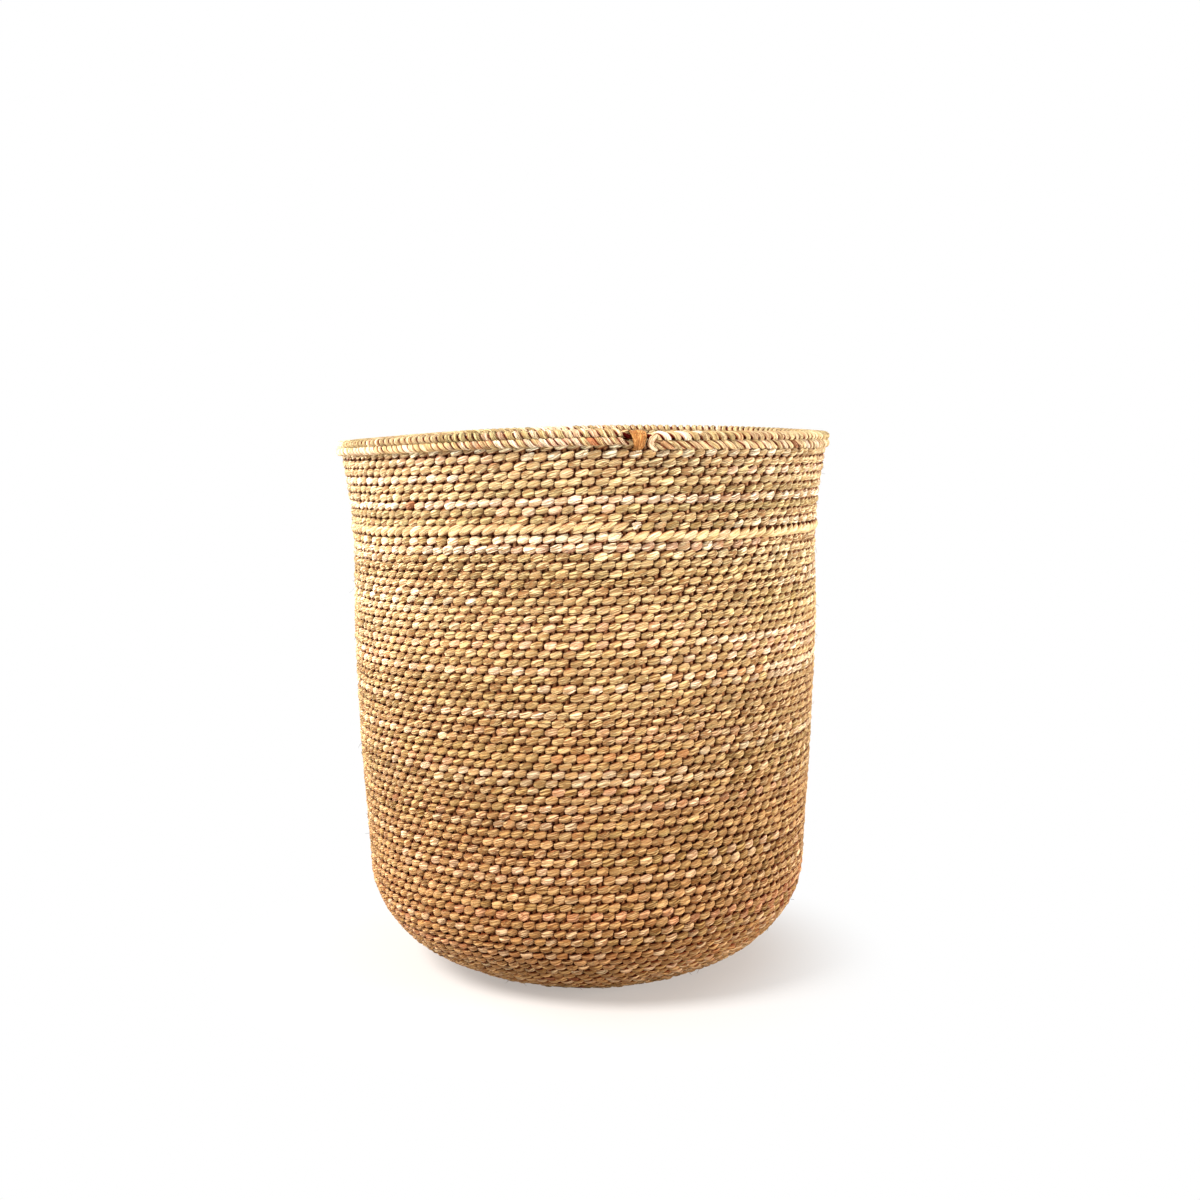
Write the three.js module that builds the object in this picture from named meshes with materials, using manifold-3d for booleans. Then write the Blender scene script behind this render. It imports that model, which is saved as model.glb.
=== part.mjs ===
// An iringa basket: a tall open basket twined from reeds, with one raised row and a corded rim.
// Millimetres, +Z up, standing on z = 0, front towards -Y.
//
// Stakes run from the middle of the base up to the rim. The weft twines round them, so it lies in
// two skins, one outside the stakes and one inside. The rows climb in a spiral, which leaves a
// step one row high where the rim closes on itself, and a binding covers that step.
import * as THREE from 'three';
import { mergeVertices } from 'three/addons/utils/BufferGeometryUtils.js';
import Module from 'manifold-3d';

const wasm = await Module();
wasm.setup();

// Outside shape
const RIM_TOP = 389.3;
const FOOT_RADIUS = 79;
const CORNER_HEIGHT = 74.5;
const CORNER_TOE = 16;
const CORNER_HEEL = 52;
const WALL_FOOT_RADIUS = 160;
const LOWER_WALL_SPREAD = 5.4;
const UPPER_WALL_SPREAD = 2.6;
const NECK_SPREAD = 1.4;
const MOUTH_FLARE = 5.1;
const FLARE_HEIGHT = 37;

// Stakes and the two skins of weft
const REEDS_PER_BUNDLE = 5;
const STAKE_WIDTH = 3;
const STAKE_THICKNESS = 2;
const WEFT_THICKNESS = 2.8;
const ROW_HEIGHT = 5.55;
const COURSE_RELIEF = 1.3;
const CLEARANCE = 0.3;

// Start of the base, where two bundles of reeds cross
const UNDER_HOLE_RADIUS = 16;
const CROSSING_RADIUS = 14;
const CROSSING_SLOPE = 8;
const INSIDE_HOLE_RADIUS = 24;
const ADDED_STAKE_RADIUS = 50;

// Raised row of three-strand twining
const RAISED_ROW_DROP = 65;
const RAISED_ROW_HEIGHT = 6.5;
const RAISED_ROW_PROUD = 1.2;

// Rim and the binding over its joint
const CREST_HEIGHT = 7.2;
const CREST_WIDTH = 12.4;
const CREST_OVERHANG = 4;
const CORD_WIDTH = 5.2;
const CORD_HEIGHT = 6.2;
const BINDING_WIDTH = 10;
const BINDING_THICKNESS = 1.6;
const BINDING_ROUNDING = 2.4;

// Lie of the finished rim: where the spiral closes, how far the sides hang below front and back, and
// how far the rim tips up to the right
const SEAM_AZIMUTH = THREE.MathUtils.degToRad(11);
const SIDE_SAG = 5.5;
const RIM_TIP = 3;

// How finely the curves are divided
const CORNER_BANDS = 3;
const STEPS_PER_CORNER_BAND = 2;
const WALL_BANDS = 3;
const COURSES_PER_BAND = 3;
const FLARE_STEPS = 2;

// Sizes that follow from those above
const LOWER_WALL_RADIUS = WALL_FOOT_RADIUS + LOWER_WALL_SPREAD;
const UPPER_WALL_RADIUS = LOWER_WALL_RADIUS + UPPER_WALL_SPREAD;
const NECK_RADIUS = UPPER_WALL_RADIUS + NECK_SPREAD;
const MOUTH_RADIUS = NECK_RADIUS + MOUTH_FLARE;
const STAKE_COUNT = 8 * REEDS_PER_BUNDLE;
const HALF_FACET = Math.PI / STAKE_COUNT;
const STAKE_DEPTH = WEFT_THICKNESS + CLEARANCE;
const INNER_WEFT_DEPTH = STAKE_DEPTH + STAKE_THICKNESS + CLEARANCE;
const COLLAR_TOP = RIM_TOP - CREST_HEIGHT - CLEARANCE;
const CORD_BOTTOM = COLLAR_TOP - CORD_HEIGHT;
const MOUTH_HEIGHT = CORD_BOTTOM - CLEARANCE;
const NECK_HEIGHT = MOUTH_HEIGHT - FLARE_HEIGHT;
const RAISED_ROW_MIDDLE = RIM_TOP - RAISED_ROW_DROP;
const RAISED_ROW_CLIMB = RAISED_ROW_HEIGHT + CLEARANCE;
const CORNER_STEPS = CORNER_BANDS * STEPS_PER_CORNER_BAND;

const STRAW = { color: 0xd2ad70, roughness: 0.85, metalness: 0 };
const SHADED_STRAW = { color: 0xc39c62, roughness: 0.88, metalness: 0 };
const REED = { color: 0xb58a54, roughness: 0.8, metalness: 0 };
const TWISTED_STRAW = { color: 0xbf9156, roughness: 0.85, metalness: 0 };
const RIM_STRAW = { color: 0xdcbd88, roughness: 0.85, metalness: 0 };
const BROWN_STRAP = { color: 0xb0763c, roughness: 0.75, metalness: 0 };

function evenHeights(from, to, steps) {
  return Array.from({ length: steps }, (_, i) => from + (to - from) * (i + 1) / steps);
}

// Radius of the wall's outside at a height between the corner and the mouth
const wallSpan = NECK_HEIGHT - CORNER_HEIGHT;
const wallHeights = [
  CORNER_HEIGHT,
  CORNER_HEIGHT + wallSpan / 3,
  CORNER_HEIGHT + 2 * wallSpan / 3,
  NECK_HEIGHT,
  MOUTH_HEIGHT,
];
const wallRadii = [WALL_FOOT_RADIUS, LOWER_WALL_RADIUS, UPPER_WALL_RADIUS, NECK_RADIUS, MOUTH_RADIUS];
const wallCurve = new THREE.CubicInterpolant(wallHeights, wallRadii, 1);

function wallPoint(height) {
  return new THREE.Vector2(wallCurve.evaluate(height)[0], height);
}

// From the top of the first wall band to the raised row the stakes run straight
const wallBandTops = evenHeights(CORNER_HEIGHT, RAISED_ROW_MIDDLE, WALL_BANDS);
const wallBend = wallPoint(wallBandTops[0]);
const wallTop = wallPoint(RAISED_ROW_MIDDLE);

function straightWallPoint(height) {
  return wallBend.clone().lerp(wallTop, THREE.MathUtils.inverseLerp(wallBend.y, wallTop.y, height));
}

// Outside of the basket as one line, from the middle of the base to the top of the wall
function cornerPoints() {
  const lean = LOWER_WALL_SPREAD / (wallSpan / 3);
  const curve = new THREE.CubicBezierCurve(
    new THREE.Vector2(FOOT_RADIUS, 0),
    new THREE.Vector2(FOOT_RADIUS + CORNER_TOE, 0),
    new THREE.Vector2(WALL_FOOT_RADIUS - lean * CORNER_HEEL, CORNER_HEIGHT - CORNER_HEEL),
    new THREE.Vector2(WALL_FOOT_RADIUS, CORNER_HEIGHT),
  );
  return curve.getSpacedPoints(CORNER_STEPS);
}

const basePoints = [0, UNDER_HOLE_RADIUS, INSIDE_HOLE_RADIUS, ADDED_STAKE_RADIUS]
  .map((radius) => new THREE.Vector2(radius, 0));
const outline = [
  ...basePoints,
  ...cornerPoints(),
  ...wallBandTops.map(straightWallPoint),
  ...evenHeights(RAISED_ROW_MIDDLE, MOUTH_HEIGHT, FLARE_STEPS).map(wallPoint),
  new THREE.Vector2(MOUTH_RADIUS, COLLAR_TOP),
];

// Places along that line where one piece ends and the next begins
const UNDER_START = 1;
const INSIDE_START = 2;
const ADDED_START = 3;
const FOOT = basePoints.length;
const CORNER_TOP = FOOT + CORNER_STEPS;
const WALL_BEND = CORNER_TOP + 1;
const RAISED_ROW = CORNER_TOP + WALL_BANDS;
const TOP = outline.length - 1;

// Radius of the faceted wall at a height, for what lies in a groove of its outside
const facetedWall = new THREE.LinearInterpolant(
  outline.slice(CORNER_TOP).map((point) => point.y),
  outline.slice(CORNER_TOP).map((point) => point.x),
  1,
);

// Each station keeps the direction along the line and the step that goes 1 mm into the wall
function stationAt(i) {
  const point = outline[i];
  const before = outline[Math.max(i - 1, 0)];
  const after = outline[Math.min(i + 1, TOP)];
  const arriving = (i > 0 ? point.clone().sub(before) : after.clone().sub(point)).normalize();
  const leaving = (i < TOP ? after.clone().sub(point) : arriving.clone()).normalize();
  const along = arriving.clone().add(leaving).normalize();
  const inward = new THREE.Vector2(-along.y, along.x).divideScalar(along.dot(arriving));
  return { point, along, inward };
}

const stations = outline.map((_, i) => stationAt(i));

function pointInWall(station, depth, slide = 0) {
  return station.point.clone()
    .addScaledVector(station.inward, depth)
    .addScaledVector(station.along, slide);
}

// Solids and booleans
function solidFrom(geometry) {
  const bare = geometry.clone();
  bare.deleteAttribute('normal');
  bare.deleteAttribute('uv');
  const merged = mergeVertices(bare, 1e-4);
  return new wasm.Manifold(new wasm.Mesh({
    numProp: 3,
    vertProperties: new Float32Array(merged.attributes.position.array),
    triVerts: new Uint32Array(merged.index.array),
  }));
}

function geometryFrom(solid) {
  const mesh = solid.getMesh();
  const geometry = new THREE.BufferGeometry();
  geometry.setAttribute('position', new THREE.BufferAttribute(mesh.vertProperties, 3));
  geometry.setIndex(new THREE.BufferAttribute(mesh.triVerts, 1));
  return geometry;
}

// A section drawn as (radius, height), turned about the upright axis with a corner at every stake
function revolve(section) {
  const closed = [...section, section[0]];
  const geometry = new THREE.LatheGeometry(closed, STAKE_COUNT, SEAM_AZIMUTH + HALF_FACET);
  return geometry.rotateX(Math.PI / 2);
}

// One face of the weft between two stations. The base is flat, so there only its edges count.
function plainLine(first, last, depth) {
  const line = [];
  for (let i = first; i <= last; i = Math.max(i + 1, FOOT)) {
    const slide = i === first ? CLEARANCE / 2 : i === last ? -CLEARANCE / 2 : 0;
    line.push(pointInWall(stations[i], depth, slide));
  }
  return line;
}

// The face of a wall band that shows follows the wall's curve and is worked in courses, which stand for
// several rows of weft each and swell from their edges to their middle
function coursedLine(band, depth, relief) {
  const [from, to] = plainLine(band, band + 1, depth);
  const heights = [from.y, ...evenHeights(from.y, to.y, 2 * COURSES_PER_BAND)];
  return heights.map((height, i) => {
    const sunk = i % 2 === 0 ? relief : 0;
    return wallPoint(height).sub(new THREE.Vector2(depth + sunk, 0));
  });
}

function outerCourses(band) {
  return coursedLine(band, 0, COURSE_RELIEF);
}

function innerCourses(band) {
  return coursedLine(band, INNER_WEFT_DEPTH + WEFT_THICKNESS, -COURSE_RELIEF);
}

function weftBand(first, last, depth) {
  const inside = plainLine(first, last, depth + WEFT_THICKNESS);
  return revolve([...plainLine(first, last, depth), ...inside.reverse()]);
}

function outerWallBand(band) {
  return revolve([...outerCourses(band), ...plainLine(band, band + 1, WEFT_THICKNESS).reverse()]);
}

function innerWallBand(band) {
  return revolve([...plainLine(band, band + 1, INNER_WEFT_DEPTH), ...innerCourses(band).reverse()]);
}

function hexagon(middleX, middleY, width, height) {
  const corners = [[1, 0], [0.5, 1], [-0.5, 1], [-1, 0], [-0.5, -1], [0.5, -1]];
  return corners.map(([x, y]) => new THREE.Vector2(middleX + x * width / 2, middleY + y * height / 2));
}

// Stakes: split reeds, flat on the inside with a ridge on the outside. Each is drawn in its own upright
// plane as the line of its ridge and the line of its flat, and given its width.
function splitReed(ridge, flat, azimuth) {
  const corners = ridge.flatMap((point, i) => [
    point.x, 0, point.y,
    flat[i].x, STAKE_WIDTH / 2, flat[i].y,
    flat[i].x, -STAKE_WIDTH / 2, flat[i].y,
  ]);
  const end = 3 * (ridge.length - 1);
  const faces = [0, 2, 1, end, end + 1, end + 2];
  for (let i = 0; i < end; i += 3) {
    for (let side = 0; side < 3; side += 1) {
      const here = i + side;
      const next = i + (side + 1) % 3;
      faces.push(here, next, here + 3, next, next + 3, here + 3);
    }
  }
  const geometry = new THREE.BufferGeometry();
  geometry.setAttribute('position', new THREE.Float32BufferAttribute(corners, 3));
  geometry.setIndex(faces);
  return geometry.rotateZ(azimuth - Math.PI / 2);
}

function stakeAzimuth(i) {
  return SEAM_AZIMUTH + HALF_FACET + 2 * HALF_FACET * i;
}

function stakeLines(first) {
  const outside = [];
  const inside = [];
  for (let i = first; i <= TOP; i = i === WALL_BEND ? RAISED_ROW : i + 1) {
    const slide = i === TOP ? -CLEARANCE / 2 : 0;
    outside.push(pointInWall(stations[i], STAKE_DEPTH, slide));
    inside.push(pointInWall(stations[i], STAKE_DEPTH + STAKE_THICKNESS, slide));
  }
  return { outside, inside };
}

function addedStake(i) {
  const { outside, inside } = stakeLines(ADDED_START);
  return splitReed(outside, inside, stakeAzimuth(i));
}

// A reed that runs right across the base and up both sides. The upper bundle's reeds ride over the
// lower bundle in the middle and come down beside it.
function acrossBase(upTheWall, height, ridesOver) {
  const raised = height + STAKE_THICKNESS + CLEARANCE;
  const overCrossing = [
    new THREE.Vector2(CROSSING_RADIUS, raised),
    new THREE.Vector2(CROSSING_RADIUS + CROSSING_SLOPE, height),
  ];
  const half = ridesOver ? [...overCrossing, ...upTheWall] : upTheWall;
  const otherHalf = half.map((point) => new THREE.Vector2(-point.x, point.y));
  return [...otherHalf.reverse(), ...half];
}

function crossingReed(azimuth, ridesOver) {
  const { outside, inside } = stakeLines(FOOT);
  const ridge = acrossBase(outside, STAKE_DEPTH, ridesOver);
  const flat = acrossBase(inside, STAKE_DEPTH + STAKE_THICKNESS, ridesOver);
  return splitReed(ridge, flat, azimuth);
}

// A bundle takes every second stake position in two opposite quarters of the base
function crossingBundle(ridesOver) {
  const firstPlace = ridesOver ? 2 * REEDS_PER_BUNDLE : 0;
  const reeds = Array.from({ length: REEDS_PER_BUNDLE }, (_, i) => (
    solidFrom(crossingReed(stakeAzimuth(firstPlace + 2 * i), ridesOver))
  ));
  return geometryFrom(wasm.Manifold.union(reeds));
}

// Raised row: one turn and a facet more, climbing so that its two ends lie one above the other.
// Its path is counted in corners of the faceted wall, from the one before the seam.
class RaisedRowPath extends THREE.Curve {
  constructor(firstCorner, lastCorner) {
    super();
    this.firstCorner = firstCorner;
    this.lastCorner = lastCorner;
  }

  getPoint(t) {
    const corner = THREE.MathUtils.lerp(this.firstCorner, this.lastCorner, t);
    const turn = (corner - 0.5) / STAKE_COUNT;
    const azimuth = SEAM_AZIMUTH + 2 * Math.PI * turn;
    const height = RAISED_ROW_MIDDLE + RAISED_ROW_CLIMB * (turn - 0.5);
    const middleDepth = (WEFT_THICKNESS - RAISED_ROW_PROUD) / 2;
    const radius = facetedWall.evaluate(height)[0] - middleDepth;
    return new THREE.Vector3(radius * Math.sin(azimuth), -radius * Math.cos(azimuth), height);
  }
}

const RAISED_ROW_END = STAKE_COUNT + 1;

function alongRaisedRow(section, firstCorner, lastCorner) {
  return new THREE.ExtrudeGeometry(new THREE.Shape(section), {
    steps: Math.round(lastCorner - firstCorner),
    extrudePath: new RaisedRowPath(firstCorner, lastCorner),
    bevelEnabled: false,
  });
}

function raisedRow() {
  const section = hexagon(0, 0, RAISED_ROW_HEIGHT, RAISED_ROW_PROUD + WEFT_THICKNESS);
  return alongRaisedRow(section, 0, RAISED_ROW_END);
}

// The groove that holds the raised row: a clearance taller than it and right through the outer weft,
// made in two halves that share one facet because its ends run into each other
function raisedRowGroove() {
  const halfHeight = RAISED_ROW_HEIGHT / 2 + CLEARANCE;
  const outward = -(RAISED_ROW_PROUD + WEFT_THICKNESS);
  const inward = RAISED_ROW_PROUD + WEFT_THICKNESS;
  const endRoom = CLEARANCE / (2 * HALF_FACET * NECK_RADIUS);
  const middle = STAKE_COUNT / 2;
  const section = [
    new THREE.Vector2(-halfHeight, outward),
    new THREE.Vector2(halfHeight, outward),
    new THREE.Vector2(halfHeight, inward),
    new THREE.Vector2(-halfHeight, inward),
  ];
  const firstHalf = solidFrom(alongRaisedRow(section, -endRoom, middle + 1));
  const secondHalf = solidFrom(alongRaisedRow(section, middle, RAISED_ROW_END + endRoom));
  return firstHalf.add(secondHalf);
}

// Outer weft from the last wall band to the rim, parted by the groove that holds the raised row
function outerWeftRoundRaisedRow() {
  const outside = [...outerCourses(RAISED_ROW - 1), ...plainLine(RAISED_ROW, TOP, 0)];
  const inside = plainLine(RAISED_ROW - 1, TOP, WEFT_THICKNESS);
  const whole = solidFrom(revolve([...outside, ...inside.reverse()]));
  const parts = whole.subtract(raisedRowGroove()).decompose();
  parts.sort((a, b) => a.boundingBox().min[2] - b.boundingBox().min[2]);
  return { below: parts[0], above: parts[parts.length - 1] };
}

// Binding: a strap that goes round the rim's two cords and through the wall below them, midway
// between two stakes, where the faceted rim lies nearest the axis
const FACET_REACH = Math.cos(HALF_FACET);
const STRAP_OUTER = (MOUTH_RADIUS + CLEARANCE + CORD_WIDTH) * FACET_REACH + CLEARANCE;
const STRAP_INNER = (MOUTH_RADIUS + CREST_OVERHANG - CREST_WIDTH) * FACET_REACH - CLEARANCE;
const STRAP_TOP = RIM_TOP + CLEARANCE;
const STRAP_BOTTOM = CORD_BOTTOM - CLEARANCE;

function roundedFrame(target, left, bottom, right, top, rounding) {
  target.moveTo(left + rounding, bottom);
  target.lineTo(right - rounding, bottom);
  target.absarc(right - rounding, bottom + rounding, rounding, -Math.PI / 2, 0, false);
  target.absarc(right - rounding, top - rounding, rounding, 0, Math.PI / 2, false);
  target.absarc(left + rounding, top - rounding, rounding, Math.PI / 2, Math.PI, false);
  target.absarc(left + rounding, bottom + rounding, rounding, Math.PI, 1.5 * Math.PI, false);
  return target;
}

function rimBinding() {
  const t = BINDING_THICKNESS;
  const strap = roundedFrame(
    new THREE.Shape(), STRAP_INNER - t, STRAP_BOTTOM - t, STRAP_OUTER + t, STRAP_TOP + t, BINDING_ROUNDING,
  );
  const inside = [
    new THREE.Vector2(STRAP_INNER, STRAP_BOTTOM),
    new THREE.Vector2(STRAP_OUTER, STRAP_BOTTOM),
    new THREE.Vector2(STRAP_OUTER, STRAP_TOP),
    new THREE.Vector2(STRAP_INNER, STRAP_TOP),
  ];
  strap.holes.push(new THREE.Path(inside));
  const geometry = new THREE.ExtrudeGeometry(strap, {
    depth: BINDING_WIDTH,
    bevelEnabled: false,
    curveSegments: 3,
  });
  return geometry
    .translate(0, 0, -BINDING_WIDTH / 2)
    .rotateX(Math.PI / 2)
    .rotateZ(SEAM_AZIMUTH - Math.PI / 2);
}

function bindingSlot() {
  const slot = new THREE.BoxGeometry(
    STRAP_OUTER - STRAP_INNER + 2 * (BINDING_THICKNESS + CLEARANCE),
    BINDING_WIDTH + 2 * CLEARANCE,
    BINDING_THICKNESS + 2 * CLEARANCE,
  );
  return solidFrom(slot
    .translate((STRAP_OUTER + STRAP_INNER) / 2, 0, STRAP_BOTTOM - BINDING_THICKNESS / 2)
    .rotateZ(SEAM_AZIMUTH - Math.PI / 2));
}

// Lie of the rim: the sides sag between front and back, the rim tips to one side, and above the raised
// row the spiral of the rows lifts the wall by up to one row, with a step down at the seam
function share(value, from, to) {
  return THREE.MathUtils.clamp((value - from) / (to - from), 0, 1);
}

function liftAt(x, y, z) {
  const azimuth = Math.atan2(x, -y);
  const upWall = share(z, CORNER_HEIGHT, COLLAR_TOP);
  const sag = SIDE_SAG / 2 * Math.cos(2 * azimuth) * upWall;
  const tip = RIM_TIP * Math.sin(azimuth) * upWall ** 2;
  const pastSeam = THREE.MathUtils.euclideanModulo(azimuth - SEAM_AZIMUTH + HALF_FACET, 2 * Math.PI);
  const stepping = 2 * HALF_FACET;
  const climbed = pastSeam < stepping
    ? 1 - pastSeam / stepping
    : (pastSeam - stepping) / (2 * Math.PI - stepping);
  const spiral = ROW_HEIGHT * (climbed - 0.5) * share(z, RAISED_ROW_MIDDLE + RAISED_ROW_CLIMB, MOUTH_HEIGHT);
  return sag + tip + spiral;
}

function asWoven(geometry) {
  const position = geometry.attributes.position;
  for (let i = 0; i < position.count; i += 1) {
    const z = position.getZ(i);
    position.setZ(i, z + liftAt(position.getX(i), position.getY(i), z));
  }
  geometry.computeVertexNormals();
  return geometry;
}

// Assembly
const basket = new THREE.Group();

function addPiece(name, geometry, finish) {
  const mesh = new THREE.Mesh(asWoven(geometry), new THREE.MeshStandardMaterial(finish));
  mesh.name = name;
  basket.add(mesh);
}

function addStakes() {
  addPiece('stake_bundle_lower', crossingBundle(false), REED);
  addPiece('stake_bundle_upper', crossingBundle(true), REED);
  for (let i = 0; i < STAKE_COUNT / 2; i += 1) {
    addPiece(`added_stake_${String(i + 1).padStart(2, '0')}`, addedStake(2 * i + 1), REED);
  }
}

function addWeft() {
  addPiece('outer_weft_base', weftBand(UNDER_START, FOOT, 0), STRAW);
  addPiece('inner_weft_base', weftBand(INSIDE_START, FOOT, INNER_WEFT_DEPTH), SHADED_STRAW);
  for (let i = 0; i < CORNER_BANDS; i += 1) {
    const first = FOOT + i * STEPS_PER_CORNER_BAND;
    const last = first + STEPS_PER_CORNER_BAND;
    addPiece(`outer_weft_corner_${i + 1}`, weftBand(first, last, 0), STRAW);
    addPiece(`inner_weft_corner_${i + 1}`, weftBand(first, last, INNER_WEFT_DEPTH), SHADED_STRAW);
  }
  for (let i = 0; i < WALL_BANDS; i += 1) {
    const band = CORNER_TOP + i;
    if (i < WALL_BANDS - 1) {
      addPiece(`outer_weft_wall_${i + 1}`, outerWallBand(band), STRAW);
    }
    addPiece(`inner_weft_wall_${i + 1}`, innerWallBand(band), SHADED_STRAW);
  }
  const slot = bindingSlot();
  const { below, above } = outerWeftRoundRaisedRow();
  addPiece(`outer_weft_wall_${WALL_BANDS}`, geometryFrom(below), STRAW);
  addPiece('outer_weft_upper', geometryFrom(above.subtract(slot)), STRAW);
  const innerUpper = solidFrom(weftBand(RAISED_ROW, TOP, INNER_WEFT_DEPTH));
  addPiece('inner_weft_upper', geometryFrom(innerUpper.subtract(slot)), SHADED_STRAW);
}

function addRaisedRow() {
  addPiece('raised_row', raisedRow(), TWISTED_STRAW);
}

function addRim() {
  const crestMiddle = MOUTH_RADIUS + CREST_OVERHANG - CREST_WIDTH / 2;
  const crest = hexagon(crestMiddle, RIM_TOP - CREST_HEIGHT / 2, CREST_WIDTH, CREST_HEIGHT);
  addPiece('rim_crest', revolve(crest), RIM_STRAW);
  const cordMiddle = MOUTH_RADIUS + CLEARANCE + CORD_WIDTH / 2;
  const cord = hexagon(cordMiddle, COLLAR_TOP - CORD_HEIGHT / 2, CORD_WIDTH, CORD_HEIGHT);
  addPiece('rim_cord', revolve(cord), RIM_STRAW);
  addPiece('rim_binding', rimBinding(), BROWN_STRAP);
}

addStakes();
addWeft();
addRaisedRow();
addRim();

export default basket;
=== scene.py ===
# %% [markdown]
# # An iringa basket, strand by strand
# This lesson dresses a round twined basket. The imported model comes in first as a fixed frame: it
# holds the basket's true size, and every strand below is laid inside it. Nothing else is read.

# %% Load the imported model
import math

import bpy
import numpy as np
from mathutils import Matrix


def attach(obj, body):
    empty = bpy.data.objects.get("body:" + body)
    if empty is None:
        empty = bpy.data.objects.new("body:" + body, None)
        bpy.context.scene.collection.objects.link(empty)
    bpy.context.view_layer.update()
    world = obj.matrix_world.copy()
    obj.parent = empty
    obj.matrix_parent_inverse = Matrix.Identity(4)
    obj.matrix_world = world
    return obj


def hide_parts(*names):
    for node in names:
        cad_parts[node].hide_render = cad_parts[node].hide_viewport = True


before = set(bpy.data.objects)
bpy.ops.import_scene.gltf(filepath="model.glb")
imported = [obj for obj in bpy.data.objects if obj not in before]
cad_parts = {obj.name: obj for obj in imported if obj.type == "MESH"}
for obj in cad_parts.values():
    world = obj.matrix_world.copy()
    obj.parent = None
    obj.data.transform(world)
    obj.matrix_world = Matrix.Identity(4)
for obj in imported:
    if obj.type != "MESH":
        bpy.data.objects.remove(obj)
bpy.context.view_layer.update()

MM = 0.001

# %% [markdown]
# ## The shape of the wall
# A basket is a surface of revolution that the maker's hands bend a little. On the real one the weaver
# starts flat on the ground, turns the stakes up over a soft corner, and lets the wall lean out to the
# mouth. One could draw that outline as a curve object and spin it. Here it stays plain arrays, because
# every strand has to ask the outline where it is and which way is out.

# %% The outline, from the middle of the base to the rim
FOOT_RADIUS = 79
CORNER_HEIGHT, CORNER_TOE, CORNER_HEEL = 74.5, 16, 52
WALL_FOOT_RADIUS = 160
SPREADS = (0, 5.4, 2.6, 1.4, 5.1)
RIM_TOP = 389.3
CREST_HEIGHT, CORD_HEIGHT, CLEARANCE = 7.2, 6.2, 0.3
NECK_DROP = 37
WALL_THICKNESS = 8.2
COLLAR_TOP = RIM_TOP - CREST_HEIGHT - CLEARANCE
MOUTH_HEIGHT = COLLAR_TOP - CORD_HEIGHT - CLEARANCE
NECK_HEIGHT = MOUTH_HEIGHT - NECK_DROP
BASE_POINTS, CORNER_POINTS, WALL_POINTS, COLLAR_POINTS = 40, 80, 150, 8

wall_third = (NECK_HEIGHT - CORNER_HEIGHT) / 3
lean = SPREADS[1] / wall_third
station_heights = np.array([CORNER_HEIGHT, CORNER_HEIGHT + wall_third, CORNER_HEIGHT + 2 * wall_third,
                            NECK_HEIGHT, MOUTH_HEIGHT])
station_radii = WALL_FOOT_RADIUS + np.cumsum(SPREADS)
mouth_radius = station_radii[-1]


def smooth_curve(places, values, slopes, x):
    """A smooth curve through a few points, by Hermite's cubic."""
    i = np.clip(np.searchsorted(places, x) - 1, 0, len(places) - 2)
    span = places[i + 1] - places[i]
    t = (x - places[i]) / span
    near = (1 + 2 * t) * (1 - t) ** 2 * values[i] + t * (1 - t) ** 2 * span * slopes[i]
    far = t * t * (3 - 2 * t) * values[i + 1] + t * t * (t - 1) * span * slopes[i + 1]
    return near + far


t = np.linspace(0, 1, CORNER_POINTS)[1:, None]
corner_pulls = np.array([(FOOT_RADIUS, 0), (FOOT_RADIUS + CORNER_TOE, 0),
                         (WALL_FOOT_RADIUS - lean * CORNER_HEEL, CORNER_HEIGHT - CORNER_HEEL),
                         (WALL_FOOT_RADIUS, CORNER_HEIGHT)])
corner = ((1 - t) ** 3 * corner_pulls[0] + 3 * t * (1 - t) ** 2 * corner_pulls[1]
          + 3 * t * t * (1 - t) * corner_pulls[2] + t ** 3 * corner_pulls[3])
base_radii = np.linspace(0, FOOT_RADIUS, BASE_POINTS)
base = np.stack([base_radii, np.zeros_like(base_radii)], 1)
wall_heights = np.linspace(CORNER_HEIGHT, MOUTH_HEIGHT, WALL_POINTS)[1:]
wall_slopes = np.gradient(station_radii, station_heights)
wall_slopes[0] = lean
wall_radii = smooth_curve(station_heights, station_radii, wall_slopes, wall_heights)
wall = np.stack([wall_radii, wall_heights], 1)
collar = np.array([(mouth_radius, z) for z in np.linspace(MOUTH_HEIGHT, RIM_TOP, COLLAR_POINTS)[1:]])
outline = np.concatenate([base, corner, wall, collar])
print("the mouth is", 2 * mouth_radius, "mm wide, the outline has", len(outline), "points")

# %% [markdown]
# ## A place on the wall
# The strands pass in and out of the stakes, so they are measured from the middle of the wall's
# thickness. `way` is the distance along that middle line from the centre of the base to the rim. A place
# is then a distance along the way, an angle round the basket, and a small step out. The rim of the real
# basket isn't level: it sags at the sides and tips up to the right, and `hand_bend` gives that back.

# %% From a distance and an angle to a point in space
SIDE_SAG, RIM_TIP = 5.5, 3


def unit(vectors):
    return vectors / np.linalg.norm(vectors, axis=-1, keepdims=True)


def turned_out(profile):
    """The outward normals of a profile that runs from the base's centre to the rim."""
    along = unit(np.gradient(profile, axis=0))
    return np.stack([along[:, 1], -along[:, 0]], 1)


middle = outline - turned_out(outline) * WALL_THICKNESS / 2
middle[:, 0] = np.maximum(middle[:, 0], 0)
way = np.concatenate([[0], np.cumsum(np.linalg.norm(np.diff(middle, axis=0), axis=1))])
middle_out = turned_out(middle)


def along_way(values, distance):
    return np.interp(distance, way, values)


def hand_bend(heights, turn):
    """The saddle and the tilt that the maker's hands left in the rim."""
    up_wall = np.clip((heights - CORNER_HEIGHT) / (COLLAR_TOP - CORNER_HEIGHT), 0, 1)
    return SIDE_SAG / 2 * np.cos(2 * turn) * up_wall + RIM_TIP * np.sin(turn) * up_wall ** 2


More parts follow.
